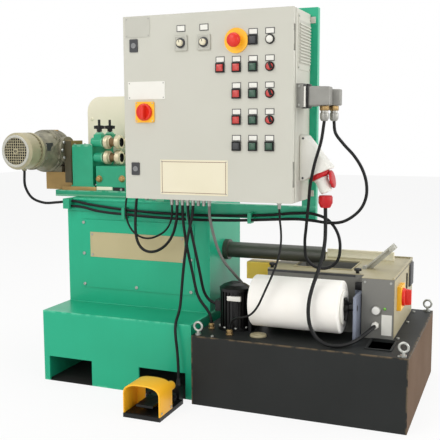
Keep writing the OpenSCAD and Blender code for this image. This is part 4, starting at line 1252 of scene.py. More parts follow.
@dataclass
class MachineBase:
    """Plinth, column and bed: the bare nameplate, the cover's screws and the bed's lip."""

    cover_front: float = 172.0
    plate_x: tuple[float, float] = (103.0, 494.0)
    plate_z: tuple[float, float] = (440.0, 535.0)
    screw_x: tuple[float, float, float] = (75.0, 297.0, 519.0)
    screw_z: tuple[float, float, float] = (334.0, 452.0, 570.0)
    bed_x: tuple[float, float] = (3.0, 591.0)

    def build(self) -> None:
        """Make the pieces on plinth, column and bed."""
        (x0, x1), (z0, z1), y = self.plate_x, self.plate_z, self.cover_front
        slab("column_name_plate", (x0, y - 1.6, z0), (x1, y, z1), PLATE_TAN, 0.4, 1,
             (Way.FRONT, 4.0, -0.5))
        screws("plate_screws", (0, y - 1.6, 0), Way.FRONT, 4.0, 1.8,
               product((x0 + 9, x1 - 9), (0,), (z0 + 9, z1 - 9)))
        middle = (self.screw_x[1], 0, self.screw_z[1])
        screws("cover_screws", (0, y, 0), Way.FRONT, 6.0, 3.5,
               [spot for spot in product(self.screw_x, (0,), self.screw_z) if spot != middle])
        x0, x1 = self.bed_x
        slab("bed_lip", (x0, 173.0, 651.0), (x1, 176.0, 660.0), GREEN, 1.2)
        slab("bed_seam", (x0, 174.8, 609.5), (x1, 176.0, 612.0), GREEN_UNIT, 0.4, 1)
        bead = [(x, 174.5 + 0.6 * math.sin(x / 3.1), 262.8) for x in range(4, 592, 4)]
        fit(Bench.strand("plinth_weld_bead", bead, 5.0), GREEN)


@dataclass
class FeedUnit:
    """The gear motor, the gear case and the grooved rollers that draw the tube in."""

    motor_x: float = -142.0
    motor_z: float = 839.0
    cowl_front: float = 60.0
    grille_r: float = 53.5
    bar_half: float = 1.25
    hub_hole_shade_r: float = 5.9
    boss_right: float = -61.0
    roller_x: float = 124.0
    bore_shade_r: float = 16.5
    pair_y: tuple[float, float] = (262.0, 342.0)
    lower_z: float = 812.0
    upper_z: float = 870.0
    stand_front: float = 238.0

    ROLLER: ClassVar[Profile] = (
        (10, -60), (10, 0), (23, 0), (26, 3), (26, 18), (20, 22), (18.5, 25), (16.5, 25.5),
        (15, 30), (15, 40), (16.5, 44.5), (18.5, 45), (20, 48), (26, 52), (26, 67), (23, 70),
        (17, 70), (16, 62.5), (9, 62.5), (8, 54))

    def build(self) -> None:
        """Make the pieces of the feed unit."""
        self._grille()
        self._gearbox()
        self._rollers()
        self._case()
        self._stand()

    def _grille(self) -> None:
        """Make the fan cowl's square mesh with its ring and hub, a dark disc behind it as painted
        shade, and painted shade in the hub's hole.
        """
        x, y, z, half = self.motor_x, self.cowl_front, self.motor_z, self.bar_half
        # A black disc behind the grille as painted shade inside the cowl.
        lathe("fan_shadow", (x, y + 4.9, z), Way.FRONT,
              [(53.8, 0), (53.8, 0.6), (20, 1.0), (12.5, 1.0)], 32, BLACK_PLASTIC)
        bars: list[Box] = []
        for k in range(-5, 6):
            off = k * 2 * self.grille_r / 11
            reach = math.sqrt(self.grille_r ** 2 - off ** 2)
            bars += [((x + off - half, y + 0.6, z - reach), (x + off + half, y + 3.0, z + reach)),
                     ((x - reach, y + 1.0, z + off - half), (x + reach, y + 3.4, z + off + half))]
        fit(Bench.bars("fan_grille", bars, 0.5, 1), COWL)
        fit(Bench.ring("grille_ring", (x, y, z), Way.BACK, [
            (60, 1.0), (60, -1.2), (58.5, -2.0), (52, -2.0), (50.5, -1.0), (50.5, 4.6), (56, 4.6)],
            48), PLATE_GREY)
        hub = lathe("fan_hub", (x, y + 2, z), Way.FRONT, [
            (9.5, 0), (9.5, 2.2), (8.5, 3.2), (6.2, 3.2), (5.8, 1.2)], 24, COWL, 0.4)
        # The hub's black middle is painted shade in its hole.
        eye = at(x, y, z)
        band(hub, BLACK_PLASTIC, lambda spot, normal:
             math.hypot(spot.x - eye.x, spot.z - eye.z) < self.hub_hole_shade_r * MM)

    def _gearbox(self) -> None:
        """Make bolts, plug, tag and pads of the worm gearbox, a painted shade plate on the bracket,
        and the motor's gland.
        """
        x, y, z = self.boss_right, 288.0, self.motor_z
        screws("boss_bolts", (x, y, z), Way.RIGHT, 6.0, 6.0,
               circle(44, map(math.radians, (138, 180, 222)), Way.BACK, Way.UP))
        screws("flange_bolts", (self.motor_x, 163, z - 4), Way.BACK, 5.0, 7.0,
               circle(65.5, EIGHTHS, Way.RIGHT, Way.UP))
        lathe("oil_plug", (self.motor_x + 16, 302, 911), Way.UP, [(11, 0), (11, 6), (8, 6.8)], 6,
              BRASS, 0.6)
        slab("gearbox_tag", (-86, 166, 838), (-75.8, 206, 868), DARK_PLASTIC, 0.8, 1,
             (Way.RIGHT, 3.0, -0.6))
        pads = [(74 * math.cos(a), y0, 74 * math.sin(a))
                for a, y0 in ((0.75, 232), (1.25, 236), (-0.3, 232))]
        lathe("gearbox_pads", (self.motor_x, 0, z - 4), Way.BACK, [(9, 0), (9, 10), (6, 13)], 14,
              CAST, 1.2, 2, moves=pads)
        # A dark olive plate on the bracket's upright as painted shade.
        slab("bracket_painted_shade", (x + 0.5, 260.4, 712), (-30.5, 262, 874.5), OLIVE_PAINTED_SHADE, 0.5, 1)
        fit(hex_gland("motor_gland", (self.motor_x, 110, 774), Way.DOWN, 9.0, 10.0), BLACK_PLASTIC)

    def _rollers(self) -> None:
        """Make the four rollers with cream flanges, a brown groove and painted shade in the bore.
        """
        left, right = at(self.roller_x + 24, 0, 0).x, at(self.roller_x + 46, 0, 0).x
        for body, y, z in ((Body.LOWER_FRONT, self.pair_y[0], self.lower_z),
                           (Body.UPPER_FRONT, self.pair_y[0], self.upper_z),
                           (Body.LOWER_REAR, self.pair_y[1], self.lower_z),
                           (Body.UPPER_REAR, self.pair_y[1], self.upper_z)):
            piece = Bench.turned(body.value + "_form", (self.roller_x, y, z), Way.RIGHT,
                                 self.ROLLER, 44)
            fit(Bench.smooth(piece, 28.0), STEEL, body, body.value)
            band(piece, GROOVE, lambda spot, normal: left < spot.x < right)
            # The bore's inner faces get painted shade.
            hub = at(self.roller_x, y, z)
            band(piece, BLACK_PLASTIC, lambda spot, normal: spot.x > right and
                 math.hypot(spot.y - hub.y, spot.z - hub.z) < self.bore_shade_r * MM)
            screws(body.value + "_bolt", (self.roller_x + 54, y, z), Way.RIGHT, 7.0, 6.0, body=body)

    def _case(self) -> None:
        """Make the case's mint caps and collars, the bracket's flange, the lid and the bolts."""
        lathe("screw_caps", (98, 0, 900), Way.UP, [(17, 0), (17, 3), (14, 6), (11, 8), (6, 8.6)],
              28, MINT, 0.6, moves=product((0,), self.pair_y, (0,)))
        lathe("bearing_collars", (112, 0, 0), Way.RIGHT,
              [(18, 0), (20, 0.5), (20, 5), (18.5, 6), (11.5, 6)], 32,
              MINT, 0.5, moves=product((0,), self.pair_y, (self.lower_z, self.upper_z)))
        slab("bracket_flange", (-60, 236.4, 684), (94, 240, 699), PASSIVATED, 0.8)
        screws("case_bolts", (0, 0, 704), Way.UP, 5.0, 5.0, product((-16, 82), (256, 384), (0,)))
        slab("case_lid", (-10, 242, 857), (76, 398, 861), GREEN_UNIT, 1.0, sunk=(Way.UP, 6.0, -1.0))
        screws("case_lid_screws", (0, 0, 861), Way.UP, 4.0, 3.0,
               product((-4, 70), (248, 320, 392), (0,)))

    def _stand(self) -> None:
        """Make the cream gib strip, the dark slot beside it and the bolts on the roller stand."""
        y = self.stand_front
        slab("gib_strip", (96, y - 2.6, 688), (165, y, 701), CREAM, 0.8)
        slab("gib_slot", (167, y - 1.2, 686.5), (217, y, 700), BLACK_PLASTIC, 0.4, 1)
        screws("gib_screw", (203, y - 1.2, 692), Way.FRONT, 4.5, 3.0)
        lathe("stand_bolts", (0, y, 0), Way.FRONT, [
            (13, 0), (13, 2.5), (10.5, 3), (10.5, 9), (9, 11), (4, 11.4)], 24, PASSIVATED, 0.6,
              moves=[(108, 0, 731), (207, 0, 733)])
        slab("feed_plate_edge", (-88, 233.8, 661), (222, 236, 668), MINT, 0.8)


@dataclass
class GrindingHead:
    """The guard over the grinding head: the passage's rim, its screws and the seam."""

    front: float = 430.0
    passage: tuple[float, float] = (159.0, 841.0)

    def build(self) -> None:
        """Make the pieces on the guard."""
        x, z = self.passage
        fit(Bench.ring("passage_rim", (x, self.front, z), Way.FRONT, [
            (42, -0.5), (42, 3), (40, 5), (34, 5), (30.5, 3), (30.5, -0.5)]), STEEL)
        screws("guard_screws", (0, self.front, 0), Way.FRONT, 6.0, 3.5,
               product((-36, 318), (0,), (690, 960)), CREAM)
        slab("guard_seam", (-58.5, 512, 662), (-56, 518, 985), CREAM, 0.8)


@dataclass
class ControlCabinet:
    """The cabinet's seal, louvres, plug connectors, red socket and glands."""

    x0: float = 364.0
    x1: float = 950.0
    z0: float = 688.0
    z1: float = 1288.0
    socket_y: float = 92.0
    tilt: float = 24.5

    def build(self) -> None:
        """Make the pieces on the cabinet's body."""
        fit(frame_bars("door_seal", (self.x0 + 3, 7.4, self.z0 + 3),
                       (self.x1 - 3, 11.0, self.z1 - 3), 9.0), PALE_SEAL)
        slab("louvre_shadow", (self.x1 + 1.9, 38, 1122), (self.x1 + 2.6, 160, 1256), PLATE_GREY,
             0.2, 1)
        screws("louvre_screws", (self.x1 + 2, 0, 0), Way.RIGHT, 3.5, 2.0,
               product((0,), (35, 164), (1110, 1266)))
        self._connectors()
        self._socket()
        lathe("gland_nuts", (0, 80, self.z0), Way.DOWN, [(10.5, 0), (10.5, 7), (9, 8)], 6,
              GREY_PLASTIC, 0.5, moves=[*((490 + 20 * k, 0, 0) for k in range(8)), (878, 0, 0)])

    def _connectors(self) -> None:
        """Make the two plug hoods, their nickel glands with brass nuts and the black levers."""
        hoods = [Bench.block("plug_hoods", (978, 26, 990), (1052, 76, 1052)),
                 Bench.block("plug_hoods", (978, 76.5, 990), (1074, 111, 1045))]
        for hood in hoods:
            Bench.soften(Bench.taper(hood, Way.RIGHT, (1.0, 0.9, 0.92)), 4.0, 3)
        fit(Bench.join("plug_hoods", hoods), GREY_CAST, stands_for="connector_hoods")
        glands = [hex_gland("plug_glands", (x, y, 991), Way.DOWN, 14.0, 47.0)
                  for x, y in ((1032, 50), (1053, 90))]
        nut_foot = at(0, 0, 976).z
        band(fit(Bench.join("plug_glands", glands), NICKEL), BRASS,
             lambda spot, normal: spot.z > nut_foot)
        slab("plug_gap", (973.5, 17.6, 987), (979.5, 25.6, 1050), WHITE_PLASTIC, 0.6)
        levers: list[Box] = []
        for x in (966.0, 981.0):
            levers += [((x, 20.5, 986), (x + 6, 25.5, 1056)), ((x, 20.5, 1053), (x + 6, 66, 1058)),
                       ((x, 20.5, 983), (x + 6, 66, 988))]
        fit(Bench.bars("plug_levers", levers, 1.0), BLACK_PLASTIC)
        screws("plug_base_screws", (0, 18.9, 0), Way.FRONT, 3.5, 2.0,
               [(958, 0, 994), (958, 0, 1051)])

    def _socket(self) -> None:
        """Make the white wedge of the wall socket, its red collar and lid, and the plug."""
        y, lean = self.socket_y, math.radians(self.tilt)
        mouth, hinge = (1007, y, 776), (1046.5, y, 760)
        down = Vector((math.sin(lean), 0.0, -math.cos(lean)))
        wedge = Bench.prism("socket_housing",
                            [(950, 756), (950, 902), (968, 900), (1052, 797), (960, 755)],
                            (y - 34, y + 34))
        fit(Bench.soften(wedge, 5.0, 3), WHITE_PLASTIC, stands_for="power_socket")
        screws("socket_screws", (0, y - 34, 0), Way.FRONT, 3.5, 1.8, [(962, 0, 890), (962, 0, 764)],
               DARK_PLASTIC)
        lathe("socket_collar", mouth, down,
              [(31, -7), (33, 0), (35, 1), (35, 9), (33, 12), (29, 13.8)], 36, PLUG_RED, 0.8)
        lid = Bench.turned("socket_lid", hinge, Way.RIGHT,
                           [(27, 0), (29, 1), (29, 6), (26, 8), (18, 9)], 32)
        fit(Bench.turn(Bench.soften(lid, 0.8, 1), hinge, Way.BACK, -self.tilt + 12), PLUG_RED)
        lathe("plug_body", mouth, down,
              [(24, 14), (24, 20), (21, 23), (21, 52), (20, 58), (17, 64)], 32,
              WHITE_PLASTIC, 0.8, stands_for="power_plug")
        lathe("plug_nut", (1029, y, 668), Way.UP,
              [(12, 0), (16, 1), (21, 12), (23, 16), (23, 34), (20, 40)], 14, PLUG_RED, 1.0, 2)


@dataclass
class DoorControls:
    """Everything on the cabinet's door: buttons, lamps, dials, stop, switch, locks, plates."""

    front: float = -16.0
    column0: float = 875.0
    row0: float = 1194.0
    column_pitch: float = 55.0
    row_pitch: float = 82.0
    size: float = 30.0

    RED_AT = ((3, 1), (2, 1), (2, 2), (2, 3))
    GREEN_AT = ((1, 1), (1, 2), (1, 3), (1, 4), (0, 4))
    BLACK_AT = ((1, 0), (2, 4))
    ROUND_AT = ((0, 0), (0, 1), (0, 2), (0, 3))

    def spots(self, places: Iterable[tuple[int, int]]) -> list[Spot]:
        """Return the moves to places given by their column from the right and their row."""
        return [(self.column0 - column * self.column_pitch, 0.0, self.row0 - row * self.row_pitch)
                for column, row in places]

    def build(self) -> None:
        """Make the pieces that ride on the door."""
        self._buttons()
        self._rounds()
        self._dials()
        self._stop()
        self._switch()
        self._locks()
        self._plates()

    def _buttons(self) -> None:
        """Make the square buttons and the framed blank legends."""
        h, y = self.size / 2, self.front
        square = [*self.RED_AT, *self.GREEN_AT, *self.BLACK_AT]
        slab("button_bezels", (-h, y - 7, -h), (h, y, h), BLACK_PLASTIC, 0.9, 2,
             (Way.FRONT, 3.4, -2.0),
             body=Body.DOOR, stands_for="push_buttons", moves=self.spots(square))
        for name, places, finish in (("red_caps", self.RED_AT, RED_CAP),
                                     ("green_caps", self.GREEN_AT, GREEN_CAP),
                                     ("black_caps", self.BLACK_AT, DARK_PLASTIC)):
            slab(name, (-10.6, y - 9.5, -10.6), (10.6, y - 4.5, 10.6), finish, 0.8, 2,
                 (Way.FRONT, 2.4, 1.2), body=Body.DOOR, moves=self.spots(places))
        moves = self.spots([*square, *self.ROUND_AT])
        slab("legend_frames", (-h, y - 1.4, h + 1), (h, y, h + 20), DARK_PLASTIC, 0.4, 1,
             (Way.FRONT, 1.8, -0.5), body=Body.DOOR, stands_for="legend_plates", moves=moves)
        slab("legend_inserts", (-h + 2.2, y - 1.3, h + 3.2), (h - 2.2, y - 0.5, h + 17.8),
             WHITE_PLASTIC, 0.3, 1, body=Body.DOOR, moves=moves)

    def _rounds(self) -> None:
        """Make the white lamp and the three lit selectors."""
        y = self.front
        lathe("round_bezels", (0, y, 0), Way.FRONT,
              [(15, 0), (15, 4), (13.6, 6), (11.6, 6), (11, 4.5)], 32,
              BLACK_PLASTIC, 0.4, body=Body.DOOR, stands_for="selectors",
              moves=self.spots(self.ROUND_AT))
        lathe("white_lamp", (0, y - 4.4, 0), Way.FRONT,
              [(11, 0), (11, 4), (9.5, 7), (6, 9), (2, 9.8)], 28,
              WHITE_PLASTIC, 0.4, body=Body.DOOR, moves=self.spots(self.ROUND_AT[:1]))
        moves = self.spots(self.ROUND_AT[1:])
        lathe("red_lenses", (0, y - 4.4, 0), Way.FRONT, [(11, 0), (11, 4), (9.5, 6), (4, 6.6)], 28,
              RED_CAP, 0.4, body=Body.DOOR, moves=moves)
        grip = Bench.block("selector_grips", (-1, y - 14, -10), (9, y - 9, 10))
        Bench.soften(Bench.taper(grip, Way.FRONT, (0.7, 1.0, 0.92)), 1.0)
        fit(Bench.turn(grip, (0, y, 0), Way.FRONT, 24), BLACK_PLASTIC, Body.DOOR, moves=moves)

    def _dials(self) -> None:
        """Make the two setting dials with their bezels and framed legends."""
        y, z = self.front, self.row0
        door = {"body": Body.DOOR, "moves": [(655, 0, 0), (575, 0, 0)]}
        slab("dial_bezels", (-22, y - 6, z - 24), (22, y, z + 24), PLATE_GREY, 1.6, 3,
             (Way.FRONT, 5.0, -1.2), stands_for="dials", **door)
        lathe("dial_skirts", (0, y - 4.6, z), Way.FRONT, [(16, 0), (16, 3), (13, 5), (10, 5.6)], 32,
              DARK_PLASTIC, 0.4, **door)
        lathe("dial_knobs", (0, y - 9, z), Way.FRONT, [(10.5, 0), (10, 8), (9, 10.6), (5, 11)], 20,
              PLATE_CREAM, 0.6, **door)
        slab("dial_marks", (-0.9, y - 20.4, z + 1), (0.9, y - 19.6, z + 8.5), BLACK_PLASTIC, 0.2, 1,
             **door)
        slab("dial_legend_frames", (-15, y - 1.8, z + 36), (15, y, z + 57), DARK_PLASTIC, 0.4, 1,
             (Way.FRONT, 1.8, -0.6), **door)
        slab("dial_legends", (-12.8, y - 1.7, z + 38.2), (12.8, y - 0.6, z + 54.8), WHITE_PLASTIC,
             0.3, 1, **door)

    def _stop(self) -> None:
        """Make the emergency stop's red mushroom."""
        cap = Bench.turned("stop_mushroom", (765.0, self.front - 22, self.row0), Way.FRONT, [
            (7, -14), (7, -1), (19, -1), (22, 1.5), (22.4, 5), (21.6, 9), (19, 13), (14, 16.2),
            (8, 17.7), (2, 18)], 44)
        fit(Bench.smooth(cap, 32.0), RED, Body.ESTOP, "estop_button")

    def _switch(self) -> None:
        """Make the main switch's red handle and the screws of its plate."""
        x, z, y = 442.0, 976.0, self.front - 6.3
        grip = ((x - 8, y - 24, z - 25), (x + 8, y - 7, z + 25))
        fit(handle("switch_handle", (x, y, z), Way.FRONT,
                   [(28, 0), (28, 6), (26, 9), (21, 10), (20, 8.5)], 44,
                   grip, (0.72, 1.0, 0.9)), RED, Body.MAIN_SWITCH, "main_switch")
        screws("switch_plate_screws", (x, self.front - 6, z), Way.FRONT, 2.4, 1.2,
               product((-29, 29), (0,), (-29, 29)), body=Body.DOOR)

    def _locks(self) -> None:
        """Make the inserts of the two door locks."""
        lathe("lock_inserts", (403, self.front - 3, 0), Way.FRONT, [
            (9, 0), (9, 1.2), (7.5, 2), (4.5, 2), (4.2, 0.6)], 24, GREY_PLASTIC, 0.3,
              body=Body.DOOR, moves=[(0, 0, 1193), (0, 0, 788)])

    def _plates(self) -> None:
        """Make the bare plates on the door."""
        y = self.front
        for name, x0, x1, z0, z1, finish in (("rating_plate", 372, 463, 1219, 1284, PLATE_GREY),
                                             ("notice_plate", 379, 515, 1018, 1076, WHITE_PLASTIC),
                                             ("maker_plate", 495, 735, 705, 820, PLATE_CREAM)):
            slab(name, (x0, y - 1.2, z0), (x1, y, z1), finish, 0.3, 1, (Way.FRONT, 2.5, 0.2),
                 body=Body.DOOR)
            screws(name + "_rivets", (0, y - 1.2, 0), Way.FRONT, 2.2, 0.9,
                   product((x0 + 5.5, x1 - 5.5), (0,), (z0 + 5.5, z1 - 5.5)), NICKEL, Body.DOOR)
        fit(frame_bars("maker_plate_line", (501, y - 1.7, 711), (729, y - 1.2, 814), 1.6), BROWN,
            Body.DOOR)


@dataclass
class CoolantTank:
    """The tank's hatch rim, the fittings on its deck and the pump's small pieces."""

    deck: float = 237.0
    pump: tuple[float, float] = (712.0, 110.0)

    def build(self) -> None:
        """Make the pieces on the tank."""
        z, (px, py) = self.deck, self.pump
        x0, x1, y0, y1 = 1180, 1254, 28, 138
        fit(Bench.bars("hatch_rim", [
            ((x0 - 6, y0 - 6, z), (x1 + 6, y0, z + 4)), ((x0 - 6, y1, z), (x1 + 6, y1 + 6, z + 4)),
            ((x0 - 6, y0, z), (x0, y1, z + 4)), ((x1, y0, z), (x1 + 6, y1, z + 4))], 0.8), TANK)
        glands = [hex_gland("deck_glands", (x, y, z), Way.UP, radius, length)
                  for x, y, radius, length in ((640, 70, 10.0, 21.0), (728, 244, 10.0, 21.0),
                                               (726, 20, 11.0, 19.0))]
        fit(Bench.join("deck_glands", glands), BRASS, stands_for="deck_fittings")
        lathe("filler_lid", (820, 42, z), Way.UP,
              [(28, 0), (28, 4), (26, 7), (14, 8), (12, 10), (5, 10.5)], 36, OLIVE, 0.8, 2)
        slab("pump_label", (702, 58.2, 343), (750, 68, 359), WHITE_PLASTIC, 0.6)
        screws("pump_bolts", (px, py, z + 10), Way.UP, 4.5, 4.5,
               circle(52, EIGHTHS, Way.RIGHT, Way.BACK))
        lathe("pump_cap", (px, py, 397.6), Way.UP, [(20, 0), (20, 1.5), (17, 2.5), (8, 3)], 32,
              BLACK_PLASTIC, 0.4)
        slab("pump_box_lid", (644.6, 88.8, 296.8), (683, 131.2, 299.4), BLACK_PLASTIC, 0.6)
        screws("deck_screws", (0, 0, z), Way.UP, 5.5, 4.0,
               [*product((680, 1290), (-20, 596), (0,)), *product((1256,), (176, 400, 560), (0,))])


@dataclass
class PaperFilter:
    """The filter's folded top, side panel, gauge, lever, knobs and the roll's hub."""

    x0: float = 800.0
    x1: float = 1244.0
    front: float = 200.0
    back: float = 575.0
    top: float = 436.0
    housing_x: float = 1140.0
    housing_front: float = 150.0
    roll_axis: tuple[float, float] = (98.0, 346.0)

    def build(self) -> None:
        """Make the pieces of the filter."""
        self._sheets()
        self._trim()
        self._front()
        self._roll()

    def _sheets(self) -> None:
        """Make the folded top sheet with its open tray and the panel on the right side."""
        x0, x1, front, back, z = self.x0, self.x1, self.housing_front, self.back, self.top
        sheet = [Bench.block("filter_top_sheet", lo, hi) for lo, hi in (
            ((x0 - 1, self.front - 1, z), (880, back + 1, z + 2)),
            ((880, self.front - 1, z), (1080, 260, z + 2)),
            ((880, 415, z), (1080, back + 1, z + 2)),
            ((1080, front - 1, z), (x1 + 1, back + 1, z + 2)))]
        Bench.cut(sheet[3],
                  Bench.block("notch", (1070, front - 5, z - 1),
                              (self.housing_x - 1, self.front - 1, z + 4)))
        fit(Bench.join("filter_top_sheet", sheet), OLIVE)
        fit(Bench.bars("filter_rim", [
            ((x1 - 6, front, z + 2), (x1 + 1, back, z + 7)),
            ((x0, back - 6, z + 2), (x1 - 6, back + 1, z + 7)),
            ((876, 256, z + 2), (1084, 260, z + 6)), ((876, 415, z + 2), (1084, 419, z + 6)),
            ((876, 260, z + 2), (880, 415, z + 6)), ((1080, 260, z + 2), (1084, 415, z + 6))], 0.8),
            OLIVE)
        slab("tray_liner", (880.5, 260.5, 376.2), (1079.5, 414.5, 378), DARK_PLASTIC, 0.4, 1)
        slab("filter_side_panel", (x1, front + 4, 242), (x1 + 1.4, back - 4, z - 4), OLIVE, 0.4, 1,
             (Way.RIGHT, 10.0, -0.5))

    def _trim(self) -> None:
        """Make rear panel, star knobs, bent lever, yellow box, flap and slot."""
        z = self.top
        # The rear panel wears the lighter cream as painted light.
        slab("rear_panel", (940, 490, z + 2), (1189, 500, z + 34), CREAM_PAINTED_LIGHT, 1.0, 2,
             (Way.FRONT, 5.0, -1.0), stands_for="filter_trim")
        knobs = []
        for x in (812.0, 1112.0):
            knobs.append(Bench.turned("star_knobs", (x, 214, z), Way.UP, [
                (6, 0), (6, 9), (9, 10), (9, 17), (7, 19.5), (3, 20)], 24))
            for a in (math.tau * k / 3 + 0.5 for k in range(3)):
                lobe = (x + 8.5 * math.cos(a), 214 + 8.5 * math.sin(a), z + 9.5)
                knobs.append(Bench.turned("star_knobs", lobe, Way.UP, [
                    (4.6, 0), (5.2, 1.2), (5.2, 7.4), (4.0, 8.8)], 16))
        fit(Bench.join("star_knobs", [Bench.soften(knob, 0.5, 1) for knob in knobs]), BLACK_PLASTIC)
        lever = Bench.bars("filter_lever", [
            ((1116, 300, z + 4), (1122, 326, z + 136)), ((1116, 320, z + 4), (1136, 326, z + 136)),
            ((1116, 298, z + 112), (1136, 328, z + 134))], 0.8)
        fit(Bench.turn(lever, (1116, 313, z + 4.4), Way.BACK, 47), PLATE_GREY)
        lathe("lever_pivot", (1118, 296, z + 6), Way.BACK,
              [(8, 0), (8, 3), (5, 3.5), (5, 34), (3, 36)], 20, ZINC, 0.5)
        # The yellow box wears the lighter yellow as painted light.
        slab("yellow_box", (686, 299.5, 374), (800, 360.5, z + 0.5), YELLOW_PAINTED_LIGHT, 2.0, 3,
             (Way.FRONT, 5.0, -1.2))
        flap = Bench.block("side_flap", (self.x1 + 1, 480, 348), (self.x1 + 8, 555, z - 4))
        fit(Bench.soften(Bench.taper(flap, Way.RIGHT, (1.0, 0.94, 0.94)), 1.2), DARK_PLASTIC)
        slab("side_slot", (self.x1 + 1, 416, 354), (self.x1 + 4, 430, 410), BLACK_PLASTIC, 1.0, 2,
             (Way.RIGHT, 2.0, -1.0))

    def _front(self) -> None:
        """Make what is on the housing's front, and the plate and block at the roll's end."""
        y = self.housing_front
        lathe("gauge_rim", (1188, y, 332), Way.FRONT,
              [(16, 0), (16, 5), (14.6, 7), (13, 7), (12.6, 5.5)], 32, NICKEL, 0.4)
        lathe("gauge_face", (1188, y - 5.4, 332), Way.FRONT,
              [(12.8, 0), (12.8, 0.8), (8, 1.6), (2, 2.0)], 32, GLASS, 0.2)
        lathe("green_lamp", (1216, y, 339), Way.FRONT, [(5, 0), (5, 2), (4, 4), (1.5, 5)], 20,
              GREEN_LAMP, 0.3)
        slab("housing_label", (1206, y - 0.9, 251), (1239, y, 319), WHITE_PLASTIC, 0.2, 1,
             (Way.FRONT, 2.0, -0.2))
        fit(hex_gland("housing_gland", (1187, y, 283), Way.FRONT, 11.0, 20.0), WHITE_PLASTIC)
        screws("housing_screws", (0, y, 0), Way.FRONT, 4.0, 2.5,
               [(1150, 0, 424), (1234, 0, 424), (1150, 0, 248)])
        slab("bracket_plate", (1110, 189, 240), (1139, 199, 386), BLUE_SHEET, 1.0, 2,
             (Way.FRONT, 3.0, -1.0))
        slab("cover_edge", (self.x0, self.front - 1.6, 427), (1108, self.front, 434), DARK_PLASTIC,
             0.5, 1)
        slab("bracket_block", (1110, 184, 386), (1138, 199.5, 412), BLACK_PLASTIC, 2.0)

    def _roll(self) -> None:
        """Make the paper roll with its core, the light end disc and the black star hub."""
        y, z = self.roll_axis
        roll = Bench.turned("fleece_roll", (790, y, z), Way.RIGHT, [
            (10, -18), (10, -2), (24, -1.8), (24, 0), (83, 0), (85.6, 2.5), (86, 6), (86, 294),
            (85.6, 297.5), (83, 300), (76, 300), (75, 298.8), (60, 298.8), (59, 300), (24, 300),
            (24, 301)], 72)
        fit(Bench.smooth(roll, 32.0), PAPER, Body.PAPER_ROLL, "paper_roll")
        lathe("roll_end_disc", (1090, y, z), Way.RIGHT,
              [(56, 0), (56, 5), (53, 7.5), (30, 7.5), (28, 6)], 48,
              WHITE_PLASTIC, 0.8, body=Body.PAPER_ROLL)
        hub = [Bench.turned("roll_hub", (1097, y, z), Way.RIGHT,
                            [(20, 0), (20, 8), (17, 12), (10, 13), (10, 40)], 28)]
        for k in range(3):
            arm = Bench.block("roll_hub", (1097.5, y - 8, z), (1109, y + 8, z + 44))
            Bench.soften(Bench.taper(arm, Way.UP, (0.8, 0.7, 1.0)), 2.5, 3)
            hub.append(Bench.turn(arm, (1097, y, z), Way.RIGHT, 120.0 * k + 35))
        fit(Bench.join("roll_hub", hub), BLACK_PLASTIC, Body.PAPER_ROLL)


@dataclass
class FilterSwitch:
    """The isolator's red handle on the filter's right side."""

    x: float = 1258.3
    y: float = 250.0
    z: float = 362.0

    def build(self) -> None:
        """Make the isolator's handle."""
        x, y, z = self.x, self.y, self.z
        grip = ((x + 7, y - 8, z - 27), (x + 28, y + 8, z + 27))
        fit(handle("isolator_handle", (x, y, z), Way.RIGHT, [
            (5, -8), (5, 0), (30, 0), (30, 6), (28, 9.4), (21, 10), (20, 8.6)], 40, grip,
            (1.0, 0.74, 0.92)),
            RED, Body.FILTER_SWITCH, "filter_switch")


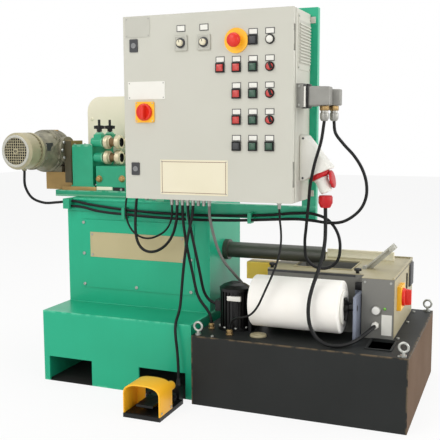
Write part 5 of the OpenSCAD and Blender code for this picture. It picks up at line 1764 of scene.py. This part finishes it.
@dataclass
class FootPedal:
    """The foot pedal: its arched hood, treads, screws, mat and the cable's boot."""

    x0: float = 450.0
    width: float = 132.0
    front: float = -218.0
    back: float = -125.0
    foot: float = 14.0
    shoulder: float = 76.0
    rise: float = 37.0
    wall: float = 5.0
    square: float = 0.72

    def build(self) -> None:
        """Make the pieces of the foot pedal."""
        middle, back = self.x0 + self.width / 2, self.back
        shell = Bench.prism("hood_shell", self._arch(middle), (self.front, back))
        wings = [Bench.block("hood_shell", (middle + a, back - 4, 14.2), (middle + b, back - 1, 92))
                 for a, b in ((-62, -31), (31, 62))]
        lug = Bench.turned("hood_shell", (561, back - 4, 78), Way.BACK,
                           [(15, 0), (15, 40), (13.5, 43.5), (9, 45)], 28)
        hood = Bench.join("hood_shell", [Bench.soften(shell, 1.6, 3, 50),
                                         *(Bench.soften(wing, 0.8, 1) for wing in wings),
                                         Bench.soften(lug, 0.5, 1)])
        fit(Bench.smooth(hood, 40.0), YELLOW, stands_for="pedal_hood")
        slab("pedal_treads", (490, -190, 40), (542, -186, 42), RUBBER, 0.7, body=Body.PEDAL,
             moves=[(0, 11 * k, 0) for k in range(8)])
        screws("hood_screws", (self.x0 + self.width, 0, 0), Way.RIGHT, 4.5, 2.0,
               [(0, -205, 24), (0, -137, 24)])
        slab("pedal_mat", (452, -216, 14), (580, -108, 15.6), RUBBER, 0.4, 1, (Way.UP, 8.0, -0.6))
        lathe("cable_boot", (560, -30, 58), Way.UP, [(10, 0), (10, 3), (8, 6), (7, 20), (6, 24)],
              20, BLACK_PLASTIC, 0.5)

    def _arch(self, middle: float) -> list[tuple[float, float]]:
        """Return the hood's outline in the XZ plane: up the outside, over, and back inside.

        Args:
            middle: the X of the hood's middle.

        Returns:
            Pairs of X and Z.
        """
        outline: list[tuple[float, float]] = []
        for inside, way in ((0.0, 1.0), (self.wall, -1.0)):
            half, rise = self.width / 2 - inside, self.rise - inside
            outline.append((middle - way * half, self.foot))
            for k in range(33):
                turn = math.pi * k / 32
                across, up = math.cos(turn), math.sin(turn)
                out = half * math.copysign(abs(across) ** self.square, across)
                outline.append((middle - way * out, self.shoulder + rise * up ** self.square))
            outline.append((middle + way * half, self.foot))
        return outline


def main() -> None:
    """Build the machine's looks in order."""
    logging.basicConfig(level=logging.INFO, format="%(message)s")
    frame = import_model()
    PhotoCamera().build()
    for cable in CABLES:
        cable.build()
    NodePaint().apply(frame["nodes"])
    for part in (MachineBase(), FeedUnit(), GrindingHead(), ControlCabinet(), DoorControls(),
                 CoolantTank(), PaperFilter(), FilterSwitch(), FootPedal()):
        part.build()
    Studio().build()


if __name__ == "__main__":
    main()
